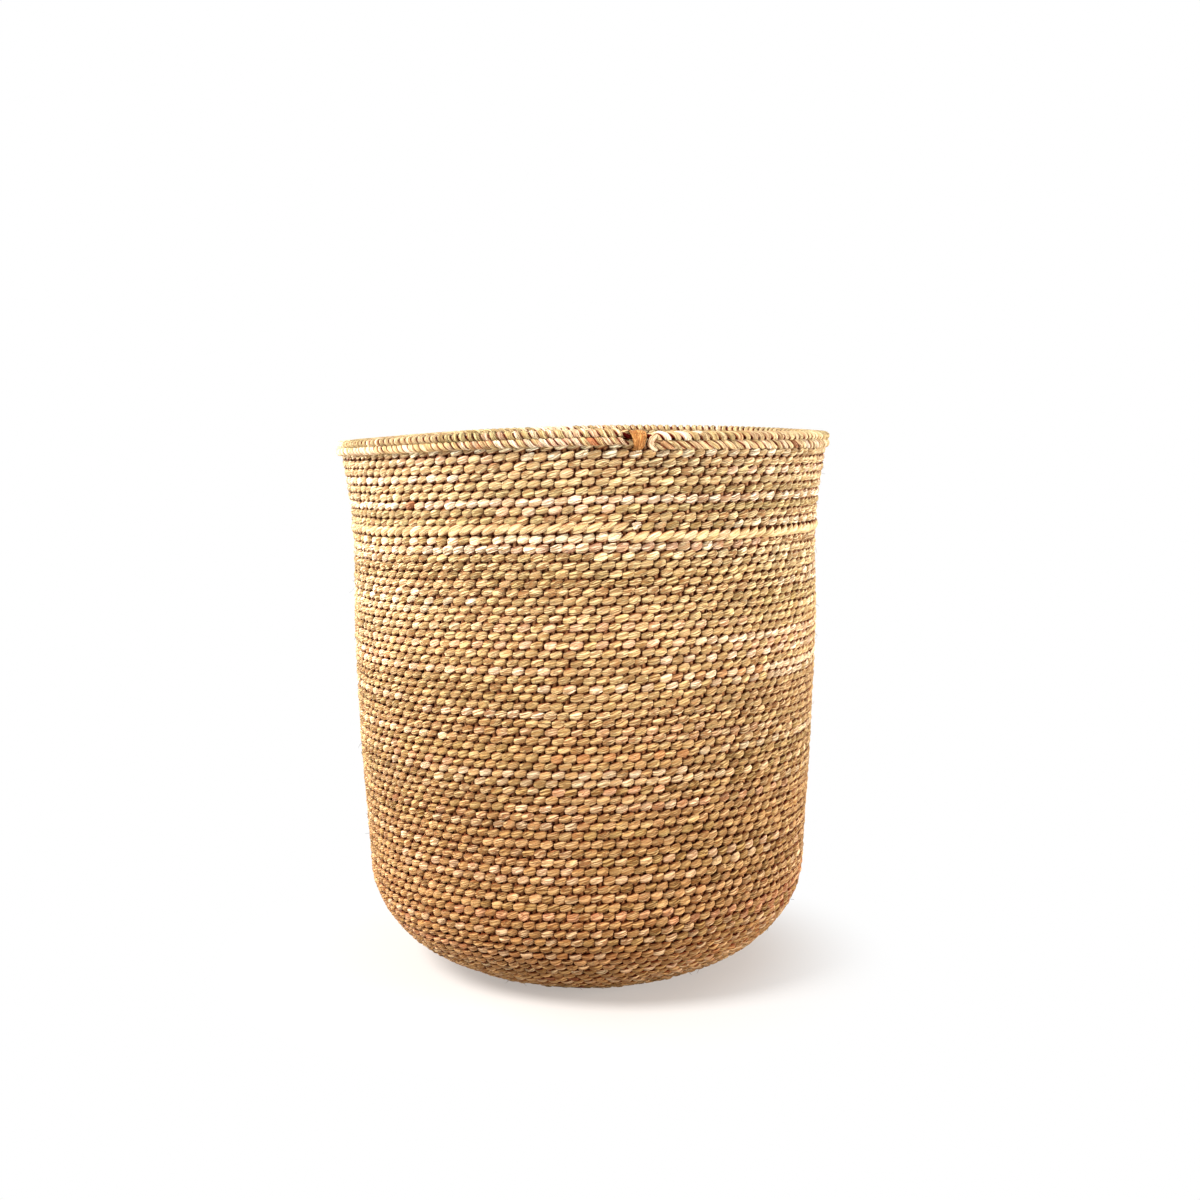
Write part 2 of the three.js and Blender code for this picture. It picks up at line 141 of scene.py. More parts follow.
def round_basket(radius, height, turn):
    """Turns a radius and a height round the basket, where turn 0 is the front."""
    return np.stack([radius * np.sin(turn), -radius * np.cos(turn), height + hand_bend(height, turn)], -1)


def facing_out(distance, turn):
    """The direction out of the wall."""
    flat, rise = along_way(middle_out[:, 0], distance), along_way(middle_out[:, 1], distance)
    return unit(np.stack([flat * np.sin(turn), -flat * np.cos(turn), rise], -1))


def place(distance, turn, out):
    """The point a step out from the wall's middle."""
    radius = along_way(middle[:, 0], distance) + out * along_way(middle_out[:, 0], distance)
    height = along_way(middle[:, 1], distance) + out * along_way(middle_out[:, 1], distance)
    return round_basket(radius, height, turn)


top_way = np.interp(COLLAR_TOP, middle[:, 1], way)
print("from the base's centre to the rim is", round(float(top_way), 1), "mm along the wall")

# %% [markdown]
# ## One strand of reed
# A strand is a soft round tube, flattened where it lies over the stakes. Blender's curve objects give
# tubes with one fixed section. These need a section that swells and pinches, so each strand is a row of
# rings in a mesh.

# %% Rings along a path
SIDES = 8
OUTER_SIDE, INNER_SIDE = SIDES // 4, 3 * SIDES // 4


def side_angles(sides):
    return np.arange(sides) * 2 * np.pi / sides


def rings_along(path, out, half_wide, half_thick, bumps=None, sides=SIDES):
    """The rings of a tube: wide across the path, thick along the out direction."""
    ahead = unit(np.gradient(path, axis=0))
    out = unit(out - (out * ahead).sum(-1, keepdims=True) * ahead)
    wide = np.cross(out, ahead)
    angle = side_angles(sides)
    swell = np.ones((len(path), sides)) if bumps is None else 1 + bumps
    across = (half_wide[:, None] * swell * np.cos(angle))[..., None] * wide[:, None]
    through = (half_thick[:, None] * swell * np.sin(angle))[..., None] * out[:, None]
    return path[:, None] + across + through


print("a strand has", SIDES, "sides, side", OUTER_SIDE, "faces out")

# %% [markdown]
# ## A skein
# A basket has thousands of stitches, and an object for each would be slow. A skein gathers many strands
# into one mesh. It keeps for each point its colour and its place in the reed: how far along and which
# way round. The finish paints fibres from that place. Each stretch of strand also gets its own strip in
# a flat map, so that the colours can be baked.

# %% Gather strands into one mesh
STRIP_RINGS, RING_FILL, STRIP_MARGIN = 868, 0.97, 0.06
CAP_LONG, CAP_HIGH = 0.5, 0.05


class Skein:
    """Strands gathered into one mesh."""

    def __init__(self):
        self.points, self.tones, self.lays, self.quads, self.strips = [], [], [], [], []
        self.point_count = 0
        self.strip_count = 0

    def add(self, rings, tone, along, fibres=1.0):
        """Adds a strand with its colours (red, green, blue, fibre) and its lengths along the reed."""
        count, sides = rings.shape[:2]
        angle = side_angles(sides)
        lay = np.empty((count, sides, 3))
        lay[..., 0] = along[:, None]
        lay[..., 1] = np.cos(angle) * fibres
        lay[..., 2] = np.sin(angle) * fibres
        ring = np.arange(count - 1)[:, None]
        side = np.arange(sides)[None]
        beside = (side + 1) % sides
        quads = np.stack([ring * sides + side, ring * sides + beside,
                          (ring + 1) * sides + beside, (ring + 1) * sides + side], -1)
        u = (ring % STRIP_RINGS) / STRIP_RINGS + 0 * side
        strip = self.strip_count + ring // STRIP_RINGS + 0 * side
        near, far = (side + 0 * ring) / sides, (side + 1 + 0 * ring) / sides
        next_u = u + RING_FILL / STRIP_RINGS
        corners = np.stack([np.stack([u, near], -1), np.stack([u, far], -1),
                            np.stack([next_u, far], -1), np.stack([next_u, near], -1)], -2)
        caps, cap_corners = self.caps(count, sides, u[-1, 0])
        strips = np.concatenate([strip.reshape(-1), [strip[0, 0]] * (len(caps) // 2),
                                 [strip[-1, 0]] * (len(caps) // 2)])
        self.points.append(rings.reshape(-1, 3))
        self.tones.append(tone.reshape(-1, 4) if tone.ndim == 3 else np.repeat(tone, sides, axis=0))
        self.lays.append(lay.reshape(-1, 3))
        self.quads.append(np.concatenate([quads.reshape(-1, 4), caps]) + self.point_count)
        self.strips.append((strips, np.concatenate([corners.reshape(-1, 4, 2), cap_corners])))
        self.point_count += count * sides
        self.strip_count = int(strips.max()) + 1

    @staticmethod
    def caps(count, sides, last_u):
        """Quads that close both ends, and their spots in the flat map."""
        first = np.array([(i, i + 1, sides - 2 - i, sides - 1 - i) for i in range(sides // 2 - 1)])
        last = first[:, ::-1] + (count - 1) * sides
        spots = np.zeros((len(first) * 2, 4, 2))
        spots[:, 2:, 0] = CAP_LONG / STRIP_RINGS
        spots[:, 1:3, 1] = CAP_HIGH
        spots[len(first):, :, 0] += last_u
        return np.concatenate([first, last]), spots

    def to_piece(self, name):
        """Makes the mesh object."""
        points = np.concatenate(self.points) * MM
        quads = np.concatenate(self.quads)
        strips = np.concatenate([strip for strip, _ in self.strips])
        spots = np.concatenate([spot for _, spot in self.strips])
        in_strip = STRIP_MARGIN + (1 - 2 * STRIP_MARGIN) * spots[..., 1]
        spots[..., 1] = (strips[:, None] + in_strip) / self.strip_count
        mesh = bpy.data.meshes.new(name)
        mesh.vertices.add(len(points))
        mesh.vertices.foreach_set("co", points.ravel())
        mesh.loops.add(quads.size)
        mesh.loops.foreach_set("vertex_index", quads.ravel().astype(np.int32))
        mesh.polygons.add(len(quads))
        mesh.polygons.foreach_set("loop_start", np.arange(0, quads.size, 4, dtype=np.int32))
        mesh.polygons.foreach_set("use_smooth", np.ones(len(quads), dtype=bool))
        tone = mesh.attributes.new("tone", "FLOAT_COLOR", "POINT")
        tone.data.foreach_set("color", np.concatenate(self.tones).ravel())
        lay = mesh.attributes.new("lay", "FLOAT_VECTOR", "POINT")
        lay.data.foreach_set("vector", np.concatenate(self.lays).ravel())
        uv = mesh.uv_layers.new(name="OFBake")
        uv.data.foreach_set("uv", spots.ravel())
        mesh.update(calc_edges=True)
        piece = bpy.data.objects.new(name, mesh)
        bpy.context.collection.objects.link(piece)
        print(name, "has", len(quads), "faces")
        return piece


print("a strip of the flat map takes", STRIP_RINGS, "rings")

# %% [markdown]
# ## The colours of dry reed
# No two reeds dry alike. The weaver splices in a new one every few hand-widths, so the colour runs along
# a row and then changes. A painted noise would change in the middle of a stitch. Instead each strand
# carries its own list of reeds, each with one colour, and changes them between stitches, on the inside,
# where a weaver hides the ends. Each line of the palette says how common a reed is, how many stitches it
# lasts at most, and its colour.

# %% A palette and the reeds spliced along a strand
def from_srgb(*rgb):
    """A colour as seen on a screen, 0 to 255, as the linear values that shaders use."""
    c = np.array(rgb) / 255
    return np.where(c < 0.04045, c / 12.92, ((c + 0.055) / 1.055) ** 2.4)


REEDS = [
    (0.26, 24, from_srgb(231, 205, 156)),
    (0.20, 24, from_srgb(221, 195, 145)),
    (0.15, 18, from_srgb(207, 183, 131)),
    (0.17, 15, from_srgb(255, 240, 206)),
    (0.09, 12, from_srgb(246, 212, 174)),
    (0.08, 16, from_srgb(250, 228, 186)),
    (0.035, 7, from_srgb(224, 180, 132)),
    (0.015, 3, from_srgb(185, 130, 90)),
]
SPLICE_SHARES, FIBRE_STRENGTHS = (0.25, 1), (0.2, 1)
REED_SHADES, REED_HUES, STITCH_SHADES = (0.92, 1.06), (0.97, 1.03), (0.86, 1.08)
chances = np.array([chance for chance, _, _ in REEDS])
chances /= chances.sum()


def spliced(stitches, rng, length=1.0):
    """One colour and fibre strength for each stitch of a strand, in runs of a reed's length."""
    tones = np.empty((stitches, 4))
    at = 0
    while at < stitches:
        _, longest, colour = REEDS[rng.choice(len(REEDS), p=chances)]
        end = at + max(1, round(length * rng.uniform(*SPLICE_SHARES) * longest))
        tones[at:end, :3] = colour * rng.uniform(*REED_SHADES) * rng.uniform(*REED_HUES, 3)
        tones[at:end, 3] = rng.uniform(*FIBRE_STRENGTHS)
        at = end
    tones[:, :3] *= rng.uniform(*STITCH_SHADES, (stitches, 1))
    return tones


# Painted shade: the wall's colours darken and brown towards the foot.
WALL_SHADE_HEIGHTS = (10, 65, 110, 155, 218, 281, 350, 390)
WALL_SHADE_TINTS = np.array([(0.63, 0.48, 0.36), (0.71, 0.54, 0.43), (0.74, 0.59, 0.49), (0.78, 0.67, 0.58),
                      (0.88, 0.79, 0.73), (1.02, 0.99, 0.98), (1.00, 1.01, 1.06), (0.96, 0.98, 1.04)])


def shaded_by_height(tones, heights):
    """Painted shade: colours grow darker and browner towards the foot, where less light reaches the wall, and
    a little paler near the mouth.
    """
    tones = tones.copy()
    for channel in range(3):
        tones[:, channel] *= np.interp(heights, WALL_SHADE_HEIGHTS, WALL_SHADE_TINTS[:, channel])
    return tones


print("reeds of", len(REEDS), "colours")

# %% [markdown]
# ## The spiral of rows
# A twined basket is one long spiral. Each round climbs by one row, so the rows meet at the seam with a
# step, under the rim's knot. The number of stakes in a round is odd, so that each row's stitches stand
# half a stitch beside the row below, like bricks. On the base the number grows as stakes are added. The
# rows of the base, the corner and the lowest wall are a little taller than those above, where the weaver
# packs them tighter. The heights are added up along the way, so that a whole number of rounds fits.

# %% Rounds, stakes and the place of every row
ROW_HEIGHT, LOW_ROW_HEIGHT = 5.6, 6.2
LOW_ROWS_END, EVEN_ROWS_START = 130, 150
STAKES = 249
STAKE_PITCH = 3.95
SEAM = math.radians(11)
FIRST_WAY, WAY_STEPS = 17, 500
RAISED_DROP, LAST_ROW_DROP = 68.4, 4.2
ROWS_ABOVE_RAISED = 10
UNDER_RAISED_PITCH, RAISED_PITCH, OVER_RAISED_PITCH = 6.3, 6.8, 5.6


def way_at(height):
    return np.interp(height, middle[:, 1], way)


raised_way = way_at(RIM_TOP - RAISED_DROP)
way_marks = np.linspace(FIRST_WAY, raised_way - UNDER_RAISED_PITCH, WAY_STEPS)
row_room = np.interp(along_way(middle[:, 1], way_marks), (LOW_ROWS_END, EVEN_ROWS_START),
                     (LOW_ROW_HEIGHT, ROW_HEIGHT))
rows_laid = np.concatenate([[0], np.cumsum(np.diff(way_marks) / row_room[1:])])
raised_round = round(float(rows_laid[-1])) + 1
rounds = raised_round + ROWS_ABOVE_RAISED + 1
first_rounds = np.interp(np.linspace(0, rows_laid[-1], raised_round), rows_laid, way_marks)
over_raised = raised_way + RAISED_PITCH + OVER_RAISED_PITCH
last_rounds = np.linspace(over_raised, way_at(RIM_TOP - LAST_ROW_DROP), ROWS_ABOVE_RAISED)
row_ways = np.concatenate([first_rounds, [raised_way, raised_way + RAISED_PITCH], last_rounds])
row_radii = along_way(middle[:, 0], row_ways[:-1])
round_stakes = np.minimum(STAKES, 2 * np.round(np.pi * row_radii / STAKE_PITCH) + 1)
stakes_before = np.concatenate([[0], np.cumsum(round_stakes)])
print(rounds, "rounds, the raised one is", raised_round, "with", int(stakes_before[-1]), "stakes passed")

# %% [markdown]
# ## A hand at work
# No row of a handmade basket is quite straight. Slow waves are shared by rows that lie side by side, and
# smaller slips differ from stitch to stitch. The gaps get painted shade, dark and warm, where little
# light reaches. An ambient-occlusion node could paint that, but it would slow every render, so each
# strand carries the painted shade in its own colours.

# %% Waves, slips and dark gaps
WAVES = ((2, 0.4), (5, 0.3), (9, 0.22), (17, 0.16), (31, 0.1))
WAVE_DRIFT = 0.35
OUT_WAVE, OUT_WAVE_SEED, UP_WAVE, UP_WAVE_SEED = 0.5, 5, 0.55, 6
# Painted shade in the gaps: how much of a reed's red, green and blue stays at the darkest, and how much
# faster green and blue fall, so that the shade turns warm.
GAP_SHADE = np.array([0.17, 0.006, 0.001])
GAP_WARMTH = np.array([0.8, 1.8, 2.7])
DARK_BELOW, CLEAR_ABOVE = 0.15, 0.42
EDGE_SHOWN, FACE_SHOWN, SIDE_CHANGE = 0.34, 1.3, 4


def wander(turn, rounds_up, seed):
    """A slow wave, shared by rows that lie side by side."""
    rng = np.random.default_rng(seed)
    wave = 0
    for times, size in WAVES:
        start, drift = rng.uniform(0, 2 * np.pi), rng.uniform(-WAVE_DRIFT, WAVE_DRIFT)
        wave = wave + size * np.sin(times * turn + drift * rounds_up + start)
    return wave


def hand_waves(turn, rounds_up):
    """How far a row wanders out and up."""
    out = OUT_WAVE * wander(turn, rounds_up, OUT_WAVE_SEED)
    return out, UP_WAVE * wander(turn, rounds_up, UP_WAVE_SEED)


def uneven(count, amount, rng):
    return rng.normal(0, amount, count)


def shaded_in_gaps(tones, over, edge=EDGE_SHOWN, sides=SIDES):
    """Painted shade: darkens a strand where it dives between the stakes and where it faces them."""
    facing = np.sin(side_angles(sides))[None] * np.tanh(SIDE_CHANGE * over)[:, None]
    risen = np.clip((np.abs(over) - DARK_BELOW) / (CLEAR_ABOVE - DARK_BELOW), 0, 1)
    shown = risen[:, None] * np.clip(edge + FACE_SHOWN * facing, 0, 1)
    shown = (shown * shown * (3 - 2 * shown))[..., None]
    tones = np.repeat(tones[:, None], sides, axis=1)
    tones[..., :3] *= GAP_SHADE + (1 - GAP_SHADE) * shown ** GAP_WARMTH
    return tones


print("a gap keeps", GAP_SHADE, "of a reed's red, green and blue")

# %% [markdown]
# ## Twining
# Two strands go round together. Each in turn lies over two stakes and then dives behind the next two, and
# they cross between. Every crossing is the same half turn, so the stitches all slant one way. A texture
# could fake it from afar, but the gaps and the rounded stitches would be missing at the edge of the
# basket, so every stitch here is real. Each pass before or behind two stakes has seven rings: close
# together where the strand dives, further apart where it lies flat.

# %% The path and the swelling of a twined strand
STITCH_OUT, STITCH_LIFT, FLATNESS = 2.6, 0.85, 2.3
HALF_PINCHED, HALF_PLUMP, BLUNTNESS = 0.9, 2.8, 0.30
HALF_THIN, THICKENING = 1.15, 0.4
ROW_FOLLOWING = 0.6
SLIP_ROUND, SLIP_OUT, SLIP_UP = 0.13, 0.2, 0.28
UNEVEN_WIDE, UNEVEN_THICK, UNEVEN_SIDE = 0.09, 0.1, 0.08
REED_PER_STAKE, REED_BETWEEN_STRANDS = 4.2, 31
TWINED_SEED = 40
STITCH_SAMPLES = np.array([-1, -0.9, -0.74, -0.3, 0.3, 0.74, 0.9])
half_stitches = int(stakes_before[-1] // 2)
ring_stakes = (2 * np.arange(half_stitches)[:, None] + STITCH_SAMPLES).ravel()[len(STITCH_SAMPLES):]


def on_spiral(stakes_passed):
    """How many rounds up, the turn and the distance along the way after so many stakes."""
    rounds_up = np.interp(stakes_passed, stakes_before, np.arange(rounds + 1))
    turn = SEAM + 2 * np.pi * rounds_up
    return rounds_up, turn, np.interp(rounds_up, np.arange(rounds + 1), row_ways)


def twined_strand(which):
    """All the rings of one of the two strands, from the base's start to the rim."""
    rng = np.random.default_rng(TWINED_SEED + which)
    rounds_up, turn, distance = on_spiral(ring_stakes)
    phase = ring_stakes * np.pi / 2 + which * np.pi
    half = phase / np.pi
    count = half_stitches + 4

    def eased(amount):
        """A slip that changes smoothly from one half stitch to the next."""
        slips = np.clip(uneven(count, amount, rng), -2 * amount, 2 * amount)
        return np.interp(half, np.arange(count), slips)

    over = np.cos(phase)
    plump = np.abs(over) ** BLUNTNESS
    turn = turn + eased(SLIP_ROUND) * 2 * np.pi / np.interp(rounds_up, np.arange(rounds), round_stakes)
    wave_out, wave_up = hand_waves(turn, rounds_up)
    out = STITCH_OUT * np.tanh(FLATNESS * over) / np.tanh(FLATNESS) + eased(SLIP_OUT) + wave_out
    up = STITCH_LIFT * np.sin(phase) + eased(SLIP_UP) + wave_up
    path = place(distance + up, turn, out)
    row_height = np.interp(rounds_up, np.arange(rounds), np.diff(row_ways))
    row_fit = (row_height / ROW_HEIGHT) ** ROW_FOLLOWING
    half_wide = HALF_PINCHED + (HALF_PLUMP - HALF_PINCHED) * plump
    half_wide = half_wide * (1 + eased(UNEVEN_WIDE)) * row_fit
    half_thick = (HALF_THIN + THICKENING * plump) * (1 + eased(UNEVEN_THICK))
    bumps = np.stack([eased(UNEVEN_SIDE) for _ in range(SIDES)], 1)
    stitch = np.floor(half / 2 + 0.5).astype(int)
    tones = shaded_by_height(spliced(int(stitch.max()) + 1, rng)[stitch], along_way(middle[:, 1], distance))
    rings = rings_along(path, facing_out(distance, turn), half_wide, half_thick, bumps)
    rings[..., 2] = np.maximum(rings[..., 2], 0)
    # Painted shade where the strand dives between the stakes and where it faces them.
    return rings, shaded_in_gaps(tones, over), ring_stakes * REED_PER_STAKE + REED_BETWEEN_STRANDS * which


twined = [twined_strand(0), twined_strand(1)]
print("each strand has", len(ring_stakes), "rings and", half_stitches // 2, "stitches outside")

# %% [markdown]
# ## Loose fibres
# Here and there a fibre has split from its reed and stands off the wall. They are few and thin, but they
# break the clean edge that gives a computer picture away. Hair particles could make them. A few thin
# tubes are lighter, and they are part of the mesh.

# %% A frayed fibre
FIBRE_RINGS, FIBRE_SIDES, FIBRES_PER_ROUND = 7, 4, 4
FIBRE_LENGTHS, FIBRE_RISES, FIBRE_RADII, FIBRE_SHADES = (2, 5.5), (0.2, 0.8), (0.1, 0.22), (0.35, 0.9)
FIBRE_ALONG, FIBRE_DROOP, FIBRE_UP = 0.9, -0.2, 0.7
FIBRE_ROOT, FIBRE_THINNING, FIBRE_LAY, FIBRE_STREAKS = 0.3, 0.6, 6, 0.5
ABOVE_FLOOR = 0.3


def loose_fibre(rings, i, rng):
    """A frayed fibre that stands off the outside of a strand."""
    outside, inside = rings[i, OUTER_SIDE], rings[i, INNER_SIDE]
    out, along = unit(outside - inside), unit(rings[i + 1].mean(0) - rings[i].mean(0))
    up = np.cross(out, along)
    share = np.linspace(0, 1, FIBRE_RINGS)[:, None]
    slant = along * rng.normal(0, FIBRE_ALONG) + up * rng.normal(FIBRE_DROOP, FIBRE_UP)
    length, rise = rng.uniform(*FIBRE_LENGTHS), rng.uniform(*FIBRE_RISES)
    path = outside - FIBRE_ROOT * out + length * share * (out * rise + slant * share)
    path[:, 2] = np.maximum(path[:, 2], ABOVE_FLOOR)
    radius = rng.uniform(*FIBRE_RADII) * (1 - FIBRE_THINNING * share[:, 0])
    return rings_along(path, np.tile(up, (FIBRE_RINGS, 1)), radius, radius, sides=FIBRE_SIDES)


print(FIBRES_PER_ROUND, "loose fibres to a strand's round")

# %% [markdown]
# ## The wall in bands
# The spiral is cut into bands, so that each piece keeps a fair number of faces, at the same heights as
# the imported model's bands. Each band stands for the outer and the inner skin there. The raised row
# takes the place of one round, so the band there has two stretches.

# %% Cut the spiral into bands
RAISED_LEAD, RAISED_LAP, RAISED_JOIN = 0.012, 0.0015, 0.004
BAND_SEED, FRAY_ABOVE = 17, 0.5
ZONE_BANDS = 3
RAISED_START, RAISED_END = raised_round - RAISED_LEAD, raised_round + 1 + RAISED_LAP


def rings_between(first, last):
    """The places in the ring list between two numbers of rounds."""
    rounds_up = on_spiral(ring_stakes)[0]
    return np.searchsorted(rounds_up, first), np.searchsorted(rounds_up, last)


def round_at(distance):
    """The whole round that passes a distance along the way."""
    return round(float(np.interp(distance, row_ways, np.arange(rounds + 1))))


def band(name, stretches):
    """Both strands over one or more stretches of rounds, with their loose fibres."""
    skein = Skein()
    rng = np.random.default_rng(BAND_SEED + int(stretches[0][0]))
    for first, last in stretches:
        start, end = rings_between(first, last)
        for rings, tones, along in twined:
            stop = min(end + 1, len(rings))
            skein.add(rings[start:stop], tones[start:stop], along[start:stop])
            waves = np.cos(along[start:stop] / REED_PER_STAKE * np.pi / 2)
            can_fray = start + np.flatnonzero(waves > FRAY_ABOVE)
            for i in rng.choice(can_fray[:-2], int(FIBRES_PER_ROUND * (last - first))):
                fibre = loose_fibre(rings, i, rng)
                tone = np.append(tones[i, OUTER_SIDE, :3] * rng.uniform(*FIBRE_SHADES), FIBRE_STREAKS)
                skein.add(fibre, np.tile(tone, (len(fibre), 1)), np.linspace(0, FIBRE_LAY, len(fibre)))
    return skein.to_piece(name)


foot_round = round_at(FOOT_RADIUS)
corner_round = round_at(way_at(CORNER_HEIGHT))
corner_cuts = np.linspace(foot_round, corner_round, ZONE_BANDS + 1).round().astype(int)
wall_cuts = np.linspace(corner_round, raised_round - 1, 2 * ZONE_BANDS + 1).round().astype(int)
bands = {"base": [("weft_base", [(0, foot_round)])]}
for i in range(ZONE_BANDS):
    bands[f"corner_{i + 1}"] = [(f"weft_corner_{i + 1}", [(corner_cuts[i], corner_cuts[i + 1])])]
    halves = wall_cuts[2 * i:2 * i + 3]
    bands[f"wall_{i + 1}"] = [(f"weft_wall_{i + 1}_low", [(halves[0], halves[1])]),
                              (f"weft_wall_{i + 1}_high", [(halves[1], halves[2])])]
upper_middle = (raised_round + rounds) // 2 + 1
bands["upper"] = [("weft_upper_low", [(raised_round - 1, RAISED_START + RAISED_JOIN),
                                      (RAISED_END - RAISED_JOIN, upper_middle)]),
                  ("weft_upper_high", [(upper_middle, rounds)])]
weft_pieces = []
for zone, parts in bands.items():
    for name, stretches in parts:
        piece = band(name, stretches)
        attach(piece, "root")
        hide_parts(f"outer_weft_{zone}", f"inner_weft_{zone}")
        weft_pieces.append(piece)

# %% [markdown]
# ## The raised row
# One round is twined with three strands in place of two. Each strand then passes over four stakes before
# it dives, so its stitches are long and slanting, they lap over each other, and the row stands proud of
# the wall. Its two ends lie one above the other beside the seam. Inside, the strands are plump again, so
# that no dark row of gaps shows there.

# %% Three-strand twining
RAISED_STRANDS, RAISED_PERIOD, RAISED_STEP, RAISED_SHIFT = 3, 6, 0.3, 0.3
RAISED_PROUD, RAISED_LIFT, RAISED_FLATNESS = 1.2, 1.85, 1.5
RAISED_SLIP_OUT, RAISED_SLIP_UP, RAISED_UNEVEN_WIDE, RAISED_UNEVEN_SIDE = 0.12, 0.15, 0.08, 0.05
RAISED_HALF_WIDE, WIDER_OUTSIDE, WIDER_INSIDE, INSIDE_BLUNTNESS = 1.15, 1.7, 1.5, 0.4
RAISED_HALF_THIN, RAISED_THICKENING = 1.2, 0.45
TAPER_RINGS, TAPER_END = 8, 0.25
RAISED_REEDS, RAISED_EVENNESS, RAISED_CLEARER = 0.6, 0.5, 0.15
RAISED_SEED, REED_BETWEEN_RAISED = 70, 900


def raised_strand(which):
    """One strand of the raised row, with its colours and its lengths along the reed."""
    rng = np.random.default_rng(RAISED_SEED + which)
    first, last = np.interp([RAISED_START, RAISED_END], np.arange(rounds + 1), stakes_before)
    stakes_passed = np.arange(first, last, RAISED_STEP)
    rounds_up, turn, distance = on_spiral(stakes_passed)
    phase = 2 * np.pi * ((stakes_passed - first) / RAISED_PERIOD + which / RAISED_STRANDS - RAISED_SHIFT)
    over = np.cos(phase)
    cycle = phase / (2 * np.pi) + 1
    count = int(cycle.max()) + 3

    def eased(amount):
        return np.interp(cycle, np.arange(count), uneven(count, amount, rng))

    sway = np.tanh(RAISED_FLATNESS * over) / np.tanh(RAISED_FLATNESS)
    wave_out, wave_up = hand_waves(turn, rounds_up)
    out = STITCH_OUT * sway + RAISED_PROUD * (1 + sway) / 2 + eased(RAISED_SLIP_OUT) + wave_out
    up = RAISED_LIFT * np.sin(phase) + eased(RAISED_SLIP_UP) + wave_up
    path = place(distance + up, turn, out)
    shown = np.clip(0.5 + 0.5 * over, 0, 1)
    ring = np.arange(len(phase))
    taper = np.clip(np.minimum(ring, ring[::-1]) / TAPER_RINGS, TAPER_END, 1)
    half_wide = RAISED_HALF_WIDE + WIDER_OUTSIDE * shown
    half_wide = half_wide + WIDER_INSIDE * np.clip(-over, 0, 1) ** INSIDE_BLUNTNESS
    half_wide = half_wide * (1 + eased(RAISED_UNEVEN_WIDE)) * taper
    half_thick = (RAISED_HALF_THIN + RAISED_THICKENING * shown) * taper
    bumps = np.stack([eased(RAISED_UNEVEN_SIDE) for _ in range(SIDES)], 1)
    tones = spliced(count + 1, rng, RAISED_REEDS)[np.floor(cycle + 0.5).astype(int)]
    tones[:, :3] = (1 - RAISED_EVENNESS) * tones[:, :3] + RAISED_EVENNESS * REEDS[0][2]
    # Painted shade in the gaps, a little lighter for the raised row.
    tones = shaded_in_gaps(shaded_by_height(tones, along_way(middle[:, 1], distance)), over + RAISED_CLEARER)
    rings = rings_along(path, facing_out(distance, turn), half_wide, half_thick, bumps)
    return rings, tones, stakes_passed * REED_PER_STAKE + REED_BETWEEN_RAISED * which


raised = Skein()
for which in range(RAISED_STRANDS):
    raised.add(*raised_strand(which))
raised_row = raised.to_piece("raised_row_strands")
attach(raised_row, "root")
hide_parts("raised_row")

# %% [markdown]
# ## The stakes
# The upright reeds show only as short slivers between the rows, but the gaps would be see-through
# without them. They run from the base, where new ones are put in between the old as the rounds widen, up
# to the rim. Round tubes would leave a line of daylight between neighbours. These have four sides, with
# a pale ridge that faces out and edges darkened with painted shade, and each is wide enough to reach the
# next one. Their whole colour is also darkened with painted shade, as they show only in the gaps.

# %% Stakes between the two skins
STAKE_RADIUS, STAKE_RADII = 1.55, (0.88, 1.08)
STAKES_READY, STAKE_FILL, STAKE_SIDES = 1.6, 1.12, 4
STAKE_NARROW, STAKE_SPREAD, STAKE_FLATNESS = 0.95, 1, 0.9
STAKE_START, STAKE_TOP_GAP, STAKE_RINGS, LONG_STAKE_RINGS = 6, 1, 34, 24
STAKE_OUT, STAKE_SLIP_OUT, STAKE_SWAY, SWAY_POINTS = 0.3, 0.1, 0.00128, 40
BARE_REED = from_srgb(240, 200, 158)
PAINTED_STAKE_SHADE = np.array([0.72, 0.58, 0.46])
STAKE_SHADES, BARE_STREAKS = (0.75, 1.1), (0.3, 1)
STAKE_SEED, REED_BETWEEN_STAKES = 9, 700


def halving(i):
    """0, 1/2, 1/4, 3/4, ...: the order in which new stakes part the old ones."""
    share, part = 0.0, 0.5
    while i:
        share += part * (i & 1)
        i >>= 1
        part /= 2
    return share


order = np.argsort(np.argsort([halving(i) for i in range(STAKES)]))
starts = np.empty(STAKES)
for i in range(STAKES):
    starts[order[i]] = np.interp(i + 1, STAKES_READY * round_stakes, row_ways[:-1])


